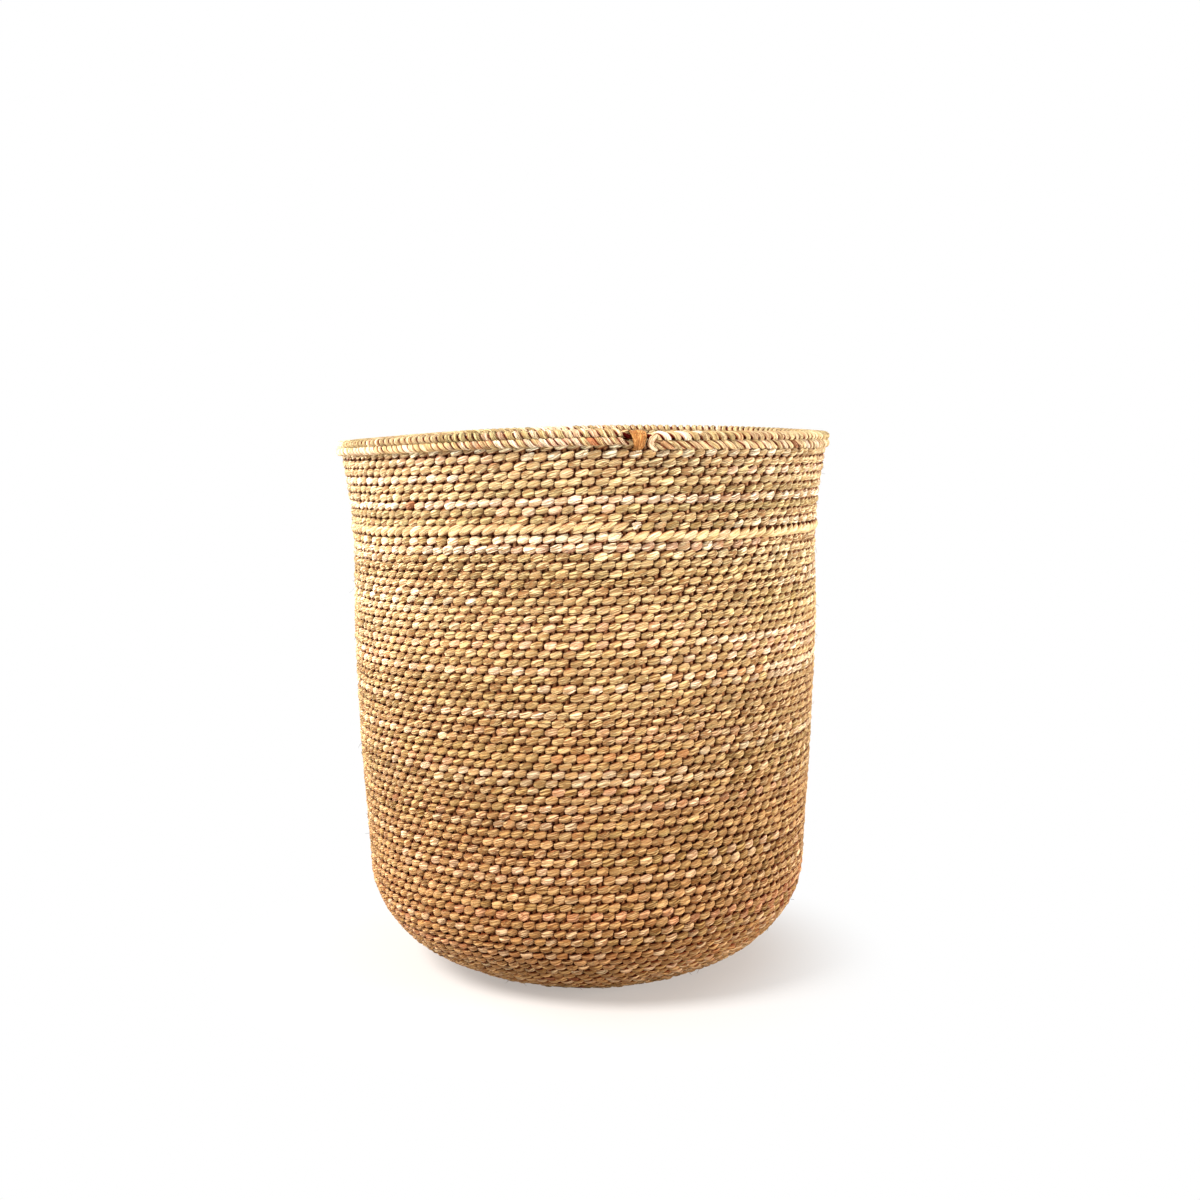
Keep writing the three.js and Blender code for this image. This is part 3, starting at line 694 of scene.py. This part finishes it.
def stake(i, rng):
    """One stake, with its colours and its lengths along the reed."""
    ring_count = int(STAKE_RINGS + LONG_STAKE_RINGS * (1 - starts[i] / top_way))
    distance = np.linspace(starts[i] + STAKE_START, top_way - STAKE_TOP_GAP, ring_count)
    sway = np.interp(distance, np.linspace(0, top_way, SWAY_POINTS), uneven(SWAY_POINTS, STAKE_SWAY, rng))
    turn = SEAM + 2 * np.pi * (i + 0.5) / STAKES + sway
    path = place(distance, turn, STAKE_OUT + uneven(1, STAKE_SLIP_OUT, rng)[0] + 0 * distance)
    radius = np.full(len(distance), STAKE_RADIUS * rng.uniform(*STAKE_RADII))
    present = np.searchsorted(np.sort(starts), distance)
    half_room = np.pi * along_way(middle[:, 0], distance) / np.maximum(present, 1)
    narrow = radius * STAKE_NARROW
    half_wide = np.clip(half_room * STAKE_FILL, narrow, narrow + STAKE_SPREAD)
    # Painted shade: the stake's colour is darkened overall, and then at its edges.
    tone = np.append(BARE_REED * PAINTED_STAKE_SHADE * rng.uniform(*STAKE_SHADES), rng.uniform(*BARE_STREAKS))
    tones = shaded_by_height(np.tile(tone, (len(path), 1)), along_way(middle[:, 1], distance))
    tones = shaded_in_gaps(tones, np.ones(len(path)), 0, STAKE_SIDES)
    rings = rings_along(path, facing_out(distance, turn), half_wide, radius * STAKE_FLATNESS,
                        sides=STAKE_SIDES)
    return rings, tones, distance + REED_BETWEEN_STAKES * i


stakes = Skein()
stake_rng = np.random.default_rng(STAKE_SEED)
for i in range(STAKES):
    stakes.add(*stake(i, stake_rng))
stake_piece = stakes.to_piece("stakes")
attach(stake_piece, "root")
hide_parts(*[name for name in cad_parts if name.startswith("added_stake")])

# %% [markdown]
# ## The start of the base
# The basket begins with two bundles of reeds laid across each other. The first rounds of weft lock the
# crossing and spread the reeds like spokes. Underneath, and inside, the crossing stays in view.

# %% Two crossing bundles
BUNDLE_REEDS, BUNDLE_PITCH, BUNDLE_REACH, BUNDLE_RINGS = 8, 3.05, 34, 30
CROSSING_HALF, CROSSING_BEND, CROSSING_STEP = 15, 9, 1.35
BUNDLE_SPREAD, BUNDLE_SPREAD_RUN = 0.25, 20
BUNDLE_RADIUS, BUNDLE_RADII, BUNDLE_FLATNESS = 1.5, (0.92, 1.06), 0.88
BUNDLE_SHADES = (0.85, 1.15)
BUNDLE_SEED, REED_BETWEEN_SPOKES = 3, 90
BASE_MIDDLE = WALL_THICKNESS / 2


def bundle(name, across, level):
    """Straight reeds side by side that turn into the wall's middle at their ends."""
    skein = Skein()
    rng = np.random.default_rng(level + BUNDLE_SEED)
    for i in range(BUNDLE_REEDS):
        side = (i - (BUNDLE_REEDS - 1) / 2) * BUNDLE_PITCH
        run = np.linspace(-BUNDLE_REACH, BUNDLE_REACH, BUNDLE_RINGS)
        beyond = np.abs(run) - CROSSING_HALF
        over = np.clip(1 - beyond / CROSSING_BEND, 0, 1)
        rise = BASE_MIDDLE + (CROSSING_STEP if level else -CROSSING_STEP) * over * over * (3 - 2 * over)
        spread = side * (1 + BUNDLE_SPREAD * np.clip(beyond / BUNDLE_SPREAD_RUN, 0, 1))
        path = np.stack([run, spread, rise], -1) if across else np.stack([-spread, run, rise], -1)
        down = np.tile([0.0, 0.0, -1.0], (len(run), 1))
        radius = np.full(len(run), BUNDLE_RADIUS * rng.uniform(*BUNDLE_RADII))
        tone = np.append(BARE_REED * rng.uniform(*BUNDLE_SHADES), rng.uniform(*BARE_STREAKS))
        skein.add(rings_along(path, down, radius, radius * BUNDLE_FLATNESS),
                  np.tile(tone, (len(run), 1)), run + REED_BETWEEN_SPOKES * i)
    piece = skein.to_piece(name)
    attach(piece, "root")
    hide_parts(f"stake_{name}")
    return piece


bundle_pieces = [bundle("bundle_lower", True, 0), bundle("bundle_upper", False, 1)]

# %% [markdown]
# ## The line of the rim
# At the top the stakes are bent over and worked into two cords: a crest that covers the top of the wall,
# and a second cord outside, just below it. Each starts on the right of the knot, goes once round the
# mouth, and ends on the left of the knot, where it is tucked in. On the way it climbs and its stitches
# get shorter. This class keeps what the strands of a cord have in common.

# %% The middle line of a rim cord
RINGS_PER_STITCH = 8
KNOT_HALF = math.radians(1.9)
KNOT_TUCK, TUCK_DROP, TUCK_PULL, RIGHT_PULL = 8, 2.0, 1.5, 1.8
ROPE_WAVE, ROPE_WAVE_SEED = 0.2, 8
KEPT_WIDTH = 0.6


class RimLine:
    """A cord's middle line, from the knot's right side round to its left side."""

    def __init__(self, radius, heights, half_wide, half_highs, stitches):
        """Heights, half heights and stitch lengths are given for the start and for the end."""
        self.steps = int(2 * np.pi * radius / stitches[1] * RINGS_PER_STITCH)
        share = np.linspace(0, 1, self.steps)
        self.turn = SEAM + KNOT_HALF + share * (2 * np.pi - 2 * KNOT_HALF)
        self.length = share * 2 * np.pi * radius
        self.stitch_length = stitches[0] + (stitches[1] - stitches[0]) * share
        self.stitches_laid = np.cumsum(np.gradient(self.length) / self.stitch_length)
        self.half_high = half_highs[0] + (half_highs[1] - half_highs[0]) * share
        self.half_wide = half_wide * (KEPT_WIDTH + (1 - KEPT_WIDTH) * self.half_high / half_highs[0])
        tuck = np.clip((self.length - self.length[-1]) / KNOT_TUCK + 1, 0, 1) ** 2
        wave = ROPE_WAVE * wander(self.turn, 0, ROPE_WAVE_SEED)
        self.height = heights[0] + (heights[1] - heights[0]) * share + wave - TUCK_DROP * tuck
        self.radius = radius - TUCK_PULL * tuck - RIGHT_PULL * np.clip(np.sin(self.turn), 0, 1) ** 2


CREST_WIDTH, CREST_OVERHANG, CREST_OUT = 12.4, 4, 0.6
CORD_WIDTH, CORD_IN, CORD_SWELL = 5.2, 1.2, 0.4
crest_radius = mouth_radius + CREST_OVERHANG + CREST_OUT - CREST_WIDTH / 2
crest_line = RimLine(crest_radius, heights=(RIM_TOP - 5.5, RIM_TOP - 3.0), half_wide=CREST_WIDTH / 2,
                     half_highs=(3.3, 3.2), stitches=(6.6, 5.2))
cord_line = RimLine(mouth_radius + CORD_WIDTH / 2 - CORD_IN, heights=(RIM_TOP - 10.7, RIM_TOP - 7.6),
                    half_wide=CORD_WIDTH / 2 + CORD_SWELL, half_highs=(3.1, 2.8), stitches=(6.6, 4.9))
print("the crest's line has", crest_line.steps, "steps and the cord's", cord_line.steps)

# %% [markdown]
# ## The strands of the rim
# A cord is made like real rope: strands that run round a middle line as they go along it. Their stitches
# slant the other way from the weave. The right half of the outer cord has three strands, and the left
# half is a paler plait of two, spliced at the back. A core painted dark as shade fills what the strands
# leave open, and painted shade darkens the strands' edges.

# %% Strands laid round a line
SPLICE, SUNK, STRAND_FILL, ROOM_SHARE = 9, 0.5, 1.08, 0.9
LAY_POINTS, LAY_SLIP = 150, 0.16
STRAND_SWELL, SWELL_LIMIT = 0.12, 0.25
RIM_REEDS, RIM_EDGE_SHOWN = 0.25, 0.2
CORE_INSET, CORE_STREAKS = 1.6, 0.5
REED_BETWEEN_ROPES = 1300


def rope_strand(line, run, strand, strands, thick, tint, rng):
    """One strand of a stretch of cord, with its colours and its lengths along the reed."""
    length, turn, stitch_length = line.length[run], line.turn[run], line.stitch_length[run]
    arc = length - length[0]
    sink = SUNK + (1 - SUNK) * np.clip(np.minimum(arc, arc[-1] - arc) / SPLICE, 0, 1)
    laid = -2 * np.pi * (line.stitches_laid[run] + strand) / strands
    laid = laid + np.interp(arc, np.linspace(0, arc[-1], LAY_POINTS), uneven(LAY_POINTS, LAY_SLIP, rng))
    cycle = np.abs(laid - laid[0] - 1) / (2 * np.pi)
    count = int(cycle.max()) + 3
    swell = np.clip(uneven(count, STRAND_SWELL, rng), -SWELL_LIMIT, SWELL_LIMIT)
    plump = np.interp(cycle, np.arange(count), 1 + swell)
    deep = thick * plump * sink
    room_wide = line.half_wide[run] * sink - deep
    room_high = line.half_high[run] * sink - deep * ROOM_SHARE
    path = round_basket(line.radius[run] + room_wide * np.cos(laid),
                        line.height[run] + room_high * np.sin(laid), turn)
    flat = np.cos(laid) * room_high
    outward = np.stack([flat * np.sin(turn), -flat * np.cos(turn), np.sin(laid) * room_wide], -1)
    slope = np.arctan2(2 * line.half_high[run], strands * stitch_length / 2)
    half_wide = stitch_length * np.sin(slope) / 2 * plump * sink * STRAND_FILL
    tones = shaded_by_height(spliced(count + 1, rng, RIM_REEDS)[np.floor(cycle).astype(int)], line.height[run])
    tones[:, :3] *= tint
    # Painted shade darkens the strand's edges, where it meets its neighbours.
    tones = shaded_in_gaps(tones, np.ones(len(arc)), RIM_EDGE_SHOWN)
    return rings_along(path, outward, half_wide, deep), tones, length + REED_BETWEEN_ROPES * strand


def rim_rope(node, line, thick, runs, seed, extras=()):
    """A cord in runs. A run is where it starts and ends as a share of the way, its strands and its tint."""
    skein = Skein()
    rng = np.random.default_rng(seed)
    for first, last, strands, tint in runs:
        run = slice(int(first * line.steps), int(last * line.steps) + 1)
        for strand in range(strands):
            skein.add(*rope_strand(line, run, strand, strands, thick, tint, rng))
    # Painted shade: a dark core that shows in the slits between the strands.
    core = round_basket(line.radius, line.height, line.turn)
    outward = np.stack([np.sin(line.turn), -np.cos(line.turn), 0 * line.turn], -1)
    core_rings = rings_along(core, outward, line.half_high - CORE_INSET, line.half_wide - CORE_INSET)
    core_shade_tone = np.append(BARE_REED * GAP_SHADE, CORE_STREAKS)
    skein.add(core_rings, np.tile(core_shade_tone, (line.steps, 1)), line.length)
    for strand in extras:
        skein.add(*strand)
    piece = skein.to_piece(f"{node}_rope")
    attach(piece, "root")
    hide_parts(node)
    return piece


print("a cord's strands sink over", SPLICE, "mm where it is spliced")

# %% [markdown]
# ## The cords
# Beside the knot the cord's pale end is turned back on itself, like a small hook. It is one strand more
# in the cord's mesh.

# %% The crest, the cord and its turned end
END_RINGS, END_AWAY, END_BACK = 17, math.radians(1.9), math.radians(1.4)
END_OUT, END_BOW, END_DROP, END_HEIGHT = 4.2, 1.2, 4.4, 9.8
END_THIN, END_HALF_WIDE, END_HALF_THICK = 0.45, 2.3, 1.3
END_COLOUR, END_STREAKS, END_EDGE_SHOWN, END_LAY = from_srgb(240, 212, 176), 0.8, 0.6, 12
CREST_TINT = np.array([1.04, 1.05, 1.06])
CORD_TINT, PLAIT_TINT = np.array([1.04, 1.02, 1.02]), np.array([1.22, 1.15, 1.15])
CREST_THICK, CORD_THICK, CREST_SEED, CORD_SEED = 1.8, 1.7, 81, 82
CORD_ENDS, PLAIT_STARTS = 0.507, 0.493


def turned_end():
    """The pale end of the cord, turned back on itself beside the knot."""
    share = np.linspace(0, 1, END_RINGS)
    bow = np.sin(np.pi * share)
    turn = SEAM + KNOT_HALF + END_AWAY - END_BACK * bow
    path = round_basket(mouth_radius + END_OUT + END_BOW * bow, RIM_TOP - END_DROP - END_HEIGHT * share, turn)
    outward = np.stack([np.sin(turn), -np.cos(turn), 0 * turn], -1)
    taper = END_THIN + (1 - END_THIN) * np.sqrt(bow)
    tone = np.tile(np.append(END_COLOUR, END_STREAKS), (END_RINGS, 1))
    # Painted shade darkens the edges of the turned end.
    tones = shaded_in_gaps(tone, np.ones(END_RINGS), END_EDGE_SHOWN)
    return rings_along(path, outward, END_HALF_WIDE * taper, END_HALF_THICK * taper), tones, END_LAY * share


crest_piece = rim_rope("rim_crest", crest_line, CREST_THICK, [(0, 1, 2, CREST_TINT)], CREST_SEED)
cord_runs = [(0, CORD_ENDS, 3, CORD_TINT), (PLAIT_STARTS, 1, 2, PLAIT_TINT)]
cord_piece = rim_rope("rim_cord", cord_line, CORD_THICK, cord_runs, CORD_SEED, [turned_end()])

# %% [markdown]
# ## The knot
# Where the rim closes, a brown strip of bark or raffia is bound round both cords. It is widest over the
# top and pulled narrow where it goes in under the outer cord. Its path is a closed curve through a few
# points round the rim, and fine ribs run along it.

# %% A strip bound over the rim's joint
BINDING_WIDTH, BINDING_LENGTH, BINDING_HALF_THICK = 10.0, 60, 0.95
KNOT_RINGS, KNOT_SIDES = 97, 32
KNOT_NARROW, KNOT_BROAD, KNOT_GAIN = 0.56, 1.04, 0.5 / 11
RIB_DEPTH, RIB_WAVES, RIB_SHIFT = 0.22, 11, 1
BINDING_COLOUR, BINDING_STREAKS, BINDING_FIBRES = from_srgb(206, 148, 88), 0.6, 3.5
knot_corners = np.array([(mouth_radius + CREST_OVERHANG + 1.2, RIM_TOP - 4.0),
                         (mouth_radius + CORD_WIDTH + 1.6, RIM_TOP - 8.0),
                         (mouth_radius + CORD_WIDTH + 0.6, RIM_TOP - 11.4),
                         (mouth_radius - 1.5, RIM_TOP - 13.2),
                         (mouth_radius - WALL_THICKNESS, RIM_TOP - 14.5),
                         (mouth_radius - WALL_THICKNESS - 2.2, RIM_TOP - 10),
                         (mouth_radius - WALL_THICKNESS - 0.6, RIM_TOP - 4),
                         (crest_radius, RIM_TOP - 2.0)])
knot_share = np.linspace(0, 1, KNOT_RINGS)
corner_share = np.arange(-2, len(knot_corners) + 3) / len(knot_corners)
wrapped = np.concatenate([knot_corners[-2:], knot_corners, knot_corners[:3]])
knot_radius, knot_height = [smooth_curve(corner_share, values, np.gradient(values, corner_share), knot_share)
                            for values in wrapped.T]
knot_path = round_basket(knot_radius, knot_height, np.full(KNOT_RINGS, SEAM))
knot_middle = round_basket(np.array([crest_radius]), np.array([COLLAR_TOP]), np.array([SEAM]))
knot_breadth = KNOT_NARROW + KNOT_GAIN * (knot_height - MOUTH_HEIGHT)
knot_width = BINDING_WIDTH / 2 * np.clip(knot_breadth, KNOT_NARROW, KNOT_BROAD)
knot_angle = side_angles(KNOT_SIDES)
ribs = RIB_DEPTH * np.cos(RIB_WAVES * np.cos(knot_angle) + RIB_SHIFT) * np.abs(np.sin(knot_angle))
knot_rings = rings_along(knot_path, knot_path - knot_middle, knot_width,
                         np.full(KNOT_RINGS, BINDING_HALF_THICK), np.tile(ribs, (KNOT_RINGS, 1)), KNOT_SIDES)
knot_tone = np.tile(np.append(BINDING_COLOUR, BINDING_STREAKS), (KNOT_RINGS, 1))
knot = Skein()
knot.add(knot_rings, knot_tone, knot_share * BINDING_LENGTH, BINDING_FIBRES)
knot_piece = knot.to_piece("rim_knot")
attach(knot_piece, "root")
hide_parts("rim_binding")

# %% [markdown]
# ## A finish that can be written as sums
# Blender's shader nodes are wired by hand in the editor. In a script that gets long, so a small class
# wraps a socket and lets plus, minus and times add the Math nodes. Any other node comes from one method.

# %% Sockets that add up
class Wire:
    """A shader socket that works in Python sums."""

    def __init__(self, finish, socket):
        self.finish, self.socket = finish, socket

    def maths(self, operation, first, second):
        return self.finish.node("ShaderNodeMath", {"operation": operation}, {0: first, 1: second})

    def __add__(self, other):
        return self.maths("ADD", self, other)

    def __radd__(self, other):
        return self.maths("ADD", other, self)

    def __sub__(self, other):
        return self.maths("SUBTRACT", self, other)

    def __rsub__(self, other):
        return self.maths("SUBTRACT", other, self)

    def __mul__(self, other):
        return self.maths("MULTIPLY", self, other)

    def __rmul__(self, other):
        return self.maths("MULTIPLY", other, self)


class Finish:
    """The look of a material or of the world, made node by node."""

    def __init__(self, owner):
        owner.use_nodes = True
        self.owner = owner
        self.tree = owner.node_tree
        self.tree.nodes.clear()

    def node(self, kind, settings, sockets, output=0):
        """Makes a node, sets it up, wires it, and gives one of its outputs."""
        made = self.tree.nodes.new(kind)
        for name, value in settings.items():
            setattr(made, name, value)
        for name, value in sockets.items():
            if isinstance(value, Wire):
                self.tree.links.new(value.socket, made.inputs[name])
            else:
                made.inputs[name].default_value = value
        return Wire(self, made.outputs[output]) if made.outputs else None

    def mixed(self, factor, first, second, blend="MIX"):
        """Two colours through a Mix node."""
        return self.node("ShaderNodeMix", {"data_type": "RGBA", "blend_type": blend},
                         {0: factor, 6: first, 7: second}, 2)

    def vectors(self, operation, first, second):
        """Two vectors through a Vector Math node."""
        return self.node("ShaderNodeVectorMath", {"operation": operation}, {0: first, 1: second})

    def noise(self, vector, scale, detail=2.0, roughness=0.5):
        return self.node("ShaderNodeTexNoise", {}, {"Vector": vector, "Scale": scale, "Detail": detail,
                                                    "Roughness": roughness}, "Fac")

    def between(self, value, low, high):
        """0 below low, 1 above high, and a smooth way between."""
        return self.node("ShaderNodeMapRange", {"interpolation_type": "SMOOTHSTEP"},
                         {"Value": value, "From Min": low, "From Max": high})


print("the finish tools are ready")

# %% [markdown]
# ## Reed and straw
# Dry reed is a bundle of fine fibres under a thin skin. Along each strand run streaks, a few open creases
# with painted shade in them, and here and there a dark fleck. Everything is painted from the place in the
# reed, so that the streaks follow each stitch as it turns. The stretches below pull the noise long: little
# change along the reed, much change round it. The same recipe serves all strands, with its own creases,
# roughness, flecks and depth for each part of the basket.

# %% The reed finish
FINE_STRETCH, BROAD_STRETCH = (0.05, 1.8, 1.8), (0.11, 0.9, 0.9)
CREASE_STRETCH, FLECK_STRETCH = (0.12, 1.9, 1.9), (0.35, 0.8, 0.8)
STREAK_DARK, STREAK_PALE = (0.68, 0.59, 0.44, 1), (1.06, 1.14, 1.25, 1)
PATCH_BROWN, PATCH_PALE = (0.93, 0.88, 0.82, 1), (1.05, 1.05, 1.04, 1)
CREASE_SHADE = (0.34, 0.18, 0.09, 1)
ROUGHER_DIPS, SKIN_GLOSS = 0.22, 0.05


def reed_finish(name, crease, roughness, fleck, depth):
    """Colour from each strand's own reed, fibres and creases along it."""
    finish = Finish(bpy.data.materials.new(name))
    tone = finish.node("ShaderNodeAttribute", {"attribute_name": "tone"}, {}, "Color")
    fibre = finish.node("ShaderNodeAttribute", {"attribute_name": "tone"}, {}, "Alpha")
    lay = finish.node("ShaderNodeAttribute", {"attribute_name": "lay"}, {}, "Vector")
    fine = finish.noise(finish.vectors("MULTIPLY", lay, FINE_STRETCH), 2.0, 3.0, 0.6)
    broad = finish.noise(finish.vectors("MULTIPLY", lay, BROAD_STRETCH), 1.1)
    groove = finish.noise(finish.vectors("MULTIPLY", lay, CREASE_STRETCH), 0.95, 1.0)
    speckle = finish.noise(finish.vectors("MULTIPLY", lay, FLECK_STRETCH), 1.3)
    off_line = finish.node("ShaderNodeMath", {"operation": "ABSOLUTE"}, {0: groove - 0.5})
    line = 1 - finish.between(off_line, 0.02, 0.12)
    crack = line * (0.35 + 0.65 * fibre) * crease
    spot = finish.between(speckle, 0.70, 0.80) * fleck
    light = finish.mixed(finish.between(fine, 0.3, 0.7), STREAK_DARK, STREAK_PALE)
    patch = finish.mixed(finish.between(broad, 0.35, 0.68), PATCH_BROWN, PATCH_PALE)
    base = finish.mixed(1.0, finish.mixed(1.0, tone, light, "MULTIPLY"), patch, "MULTIPLY")
    # Painted shade: the creases are darkened, where shade falls in them.
    dark = finish.mixed(1.0, base, CREASE_SHADE, "MULTIPLY")
    colour = finish.mixed(spot, finish.mixed(crack, base, dark), dark)
    height = fine * 0.45 + broad * 0.5 - line * (0.3 + 0.7 * fibre)
    bump = finish.node("ShaderNodeBump", {}, {"Strength": 1.0, "Distance": depth, "Height": height})
    shader = finish.node("ShaderNodeBsdfPrincipled", {},
                         {"Base Color": colour, "Roughness": roughness + ROUGHER_DIPS * (1 - fine),
                          "Normal": bump, "Specular IOR Level": SKIN_GLOSS})
    finish.node("ShaderNodeOutputMaterial", {}, {"Surface": shader})
    return finish.owner


straw = reed_finish("straw", crease=0.85, roughness=0.42, fleck=0.5, depth=0.0014)
twisted_straw = reed_finish("twisted_straw", crease=0.6, roughness=0.42, fleck=0.4, depth=0.0010)
rim_straw = reed_finish("rim_straw", crease=0.7, roughness=0.42, fleck=0.3, depth=0.0010)
bare_reed = reed_finish("bare_reed", crease=0.5, roughness=0.5, fleck=0.4, depth=0.0004)
brown_strap = reed_finish("brown_strap", crease=0.9, roughness=0.38, fleck=0.3, depth=0.0007)
finishes = [(weft_pieces, straw), ([raised_row], twisted_straw), ([crest_piece, cord_piece], rim_straw),
            ([stake_piece] + bundle_pieces, bare_reed), ([knot_piece], brown_strap)]
for pieces, material in finishes:
    for piece in pieces:
        piece.data.materials.append(material)
    print(material.name, "is on", len(pieces), "pieces")

# %% [markdown]
# ## The white background
# The photograph is a plain shop picture: a white floor that runs into a white background. A world of
# strength 1 would be white, but it would also wash out the basket. The Light Path node tells the two
# apart: what is seen is white, and the light that falls on the basket stays at a plain level.

# %% The world
SKY_COLOUR, SKY_STRENGTH = (1, 0.985, 0.96, 1), 0.42


def seen_straight(finish):
    """1 for what the camera sees, also in a mirror or through glass, and 0 for light that is passed on."""
    rays = [finish.node("ShaderNodeLightPath", {}, {}, f"Is {kind} Ray")
            for kind in ("Camera", "Glossy", "Transmission")]
    return finish.node("ShaderNodeClamp", {}, {"Value": rays[0] + rays[1] + rays[2]})


studio = Finish(bpy.data.worlds.new("studio"))
backdrop = studio.node("ShaderNodeBackground", {}, {"Color": (1, 1, 1, 1)})
sky = studio.node("ShaderNodeBackground", {}, {"Color": SKY_COLOUR, "Strength": SKY_STRENGTH})
both = studio.node("ShaderNodeMixShader", {}, {0: seen_straight(studio), 1: sky, 2: backdrop})
studio.node("ShaderNodeOutputWorld", {}, {"Surface": both})
bpy.context.scene.world = studio.owner
print("the sky lights the basket at", SKY_STRENGTH)

# %% [markdown]
# ## The lamps
# Soft light comes from the upper left of the photograph. A low fill on the right keeps the shadow side
# open, and two large cards behind brighten the edges of the wall. Disks that are large for the basket
# give soft shadows, as a photographer's soft boxes do.

# %% Four soft lamps
WARM_WHITE, PLAIN_WHITE = (1, 0.98, 0.95), (1, 1, 1)


def lamp(name, where, aim, size, watts, colour):
    """A round soft lamp that looks at a point."""
    data = bpy.data.lights.new(name, "AREA")
    data.shape = "DISK"
    data.size = size
    data.energy = watts
    data.color = colour
    made = bpy.data.objects.new(name, data)
    made.location = where
    ahead = np.array(aim) - np.array(where)
    tilt = math.atan2(math.hypot(ahead[0], ahead[1]), -ahead[2])
    made.rotation_euler = (tilt, 0, math.atan2(ahead[1], ahead[0]) - math.pi / 2)
    bpy.context.collection.objects.link(made)
    print(name, "lamp of", watts, "watts")


lamp("key", (-1.55, -1.32, 2.05), aim=(0, 0, 0.2), size=1.1, watts=168, colour=WARM_WHITE)
lamp("fill", (2.1, -0.8, 0.20), aim=(0, 0, 0.05), size=1.4, watts=120, colour=WARM_WHITE)
lamp("left card", (-1.7, 0.8, 0.5), aim=(0, 0, 0.12), size=1.4, watts=66, colour=PLAIN_WHITE)
lamp("right card", (1.7, 0.9, 0.5), aim=(0, 0, 0.12), size=1.4, watts=20, colour=PLAIN_WHITE)

# %% [markdown]
# ## The floor
# The floor is a sheet of pale paper. Light bounces from it as from any matt paper. As it is seen, it
# keeps the basket's shadow near the foot, and further out it fades to the white of the background. As it
# is seen it also glows: this keeps the lit paper white, and the glow's warm tint is painted light that
# stands for light bounced from the basket into its shadow.

# %% A sheet of paper
FLOOR_REACH = 60
BOUNCE_COLOUR, SHADE_COLOUR = (0.60, 0.575, 0.56, 1), (0.29, 0.285, 0.28, 1)
GLOW_COLOUR, GLOW_STRENGTH = (1, 0.90, 0.83, 1), 0.43
SHADE_LEFT, SHADE_FULL, SHADE_GONE = 0.025, 0.125, 0.255

floor_mesh = bpy.data.meshes.new("floor")
floor_corners = [(FLOOR_REACH * x, FLOOR_REACH * y, 0) for x, y in ((-1, -1), (1, -1), (1, 1), (-1, 1))]
floor_mesh.from_pydata(floor_corners, [], [(0, 1, 2, 3)])
floor = bpy.data.objects.new("floor", floor_mesh)
bpy.context.collection.objects.link(floor)
paper = Finish(bpy.data.materials.new("paper"))
spot = paper.node("ShaderNodeTexCoord", {}, {}, "Object")
from_shade = paper.vectors("ADD", spot, (SHADE_LEFT, 0, 0))
away = paper.node("ShaderNodeVectorMath", {"operation": "LENGTH"}, {0: from_shade}, "Value")
matt = paper.node("ShaderNodeBsdfDiffuse", {}, {"Color": BOUNCE_COLOUR})
shade = paper.node("ShaderNodeBsdfDiffuse", {}, {"Color": SHADE_COLOUR})
# Painted light: a warm glow on the seen paper that lifts and warms the shadow near the foot.
glow = paper.node("ShaderNodeEmission", {}, {"Color": GLOW_COLOUR, "Strength": GLOW_STRENGTH})
blank = paper.node("ShaderNodeEmission", {}, {"Color": (1, 1, 1, 1), "Strength": 1.0})
near = paper.node("ShaderNodeAddShader", {}, {0: shade, 1: glow})
fading = paper.between(away, SHADE_FULL, SHADE_GONE)
shown = paper.node("ShaderNodeMixShader", {}, {0: fading, 1: near, 2: blank})
surface = paper.node("ShaderNodeMixShader", {}, {0: seen_straight(paper), 1: matt, 2: shown})
paper.node("ShaderNodeOutputMaterial", {}, {"Surface": surface})
floor_mesh.materials.append(paper.owner)
print("the floor fades to white within", SHADE_GONE, "m")

# %% [markdown]
# ## The camera
# The camera stands where the photographer stood: a little above the rim, so that the far rim shows over
# the near one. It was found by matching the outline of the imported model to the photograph.

# %% Where the photographer stood
LENS, SENSOR = 50.1, 36
PHOTO_WIDTH, OFF_CENTRE = 1200, 15
STANDING = (0, -1.222, 0.4044)
LOOK_DOWN, ROLL = 0.1138, math.radians(-0.4)

camera_data = bpy.data.cameras.new("photographer")
camera_data.lens = LENS
camera_data.sensor_width = SENSOR
camera_data.shift_x = OFF_CENTRE / PHOTO_WIDTH
camera = bpy.data.objects.new("photographer", camera_data)
camera.location = STANDING
camera.rotation_euler = (Matrix.Rotation(math.pi / 2 - LOOK_DOWN, 3, "X")
                         @ Matrix.Rotation(ROLL, 3, "Z")).to_euler()
bpy.context.collection.objects.link(camera)
bpy.context.scene.camera = camera
bpy.context.scene.view_settings.view_transform = "Standard"
print("the camera stands", -STANDING[1], "m in front of the basket's middle")
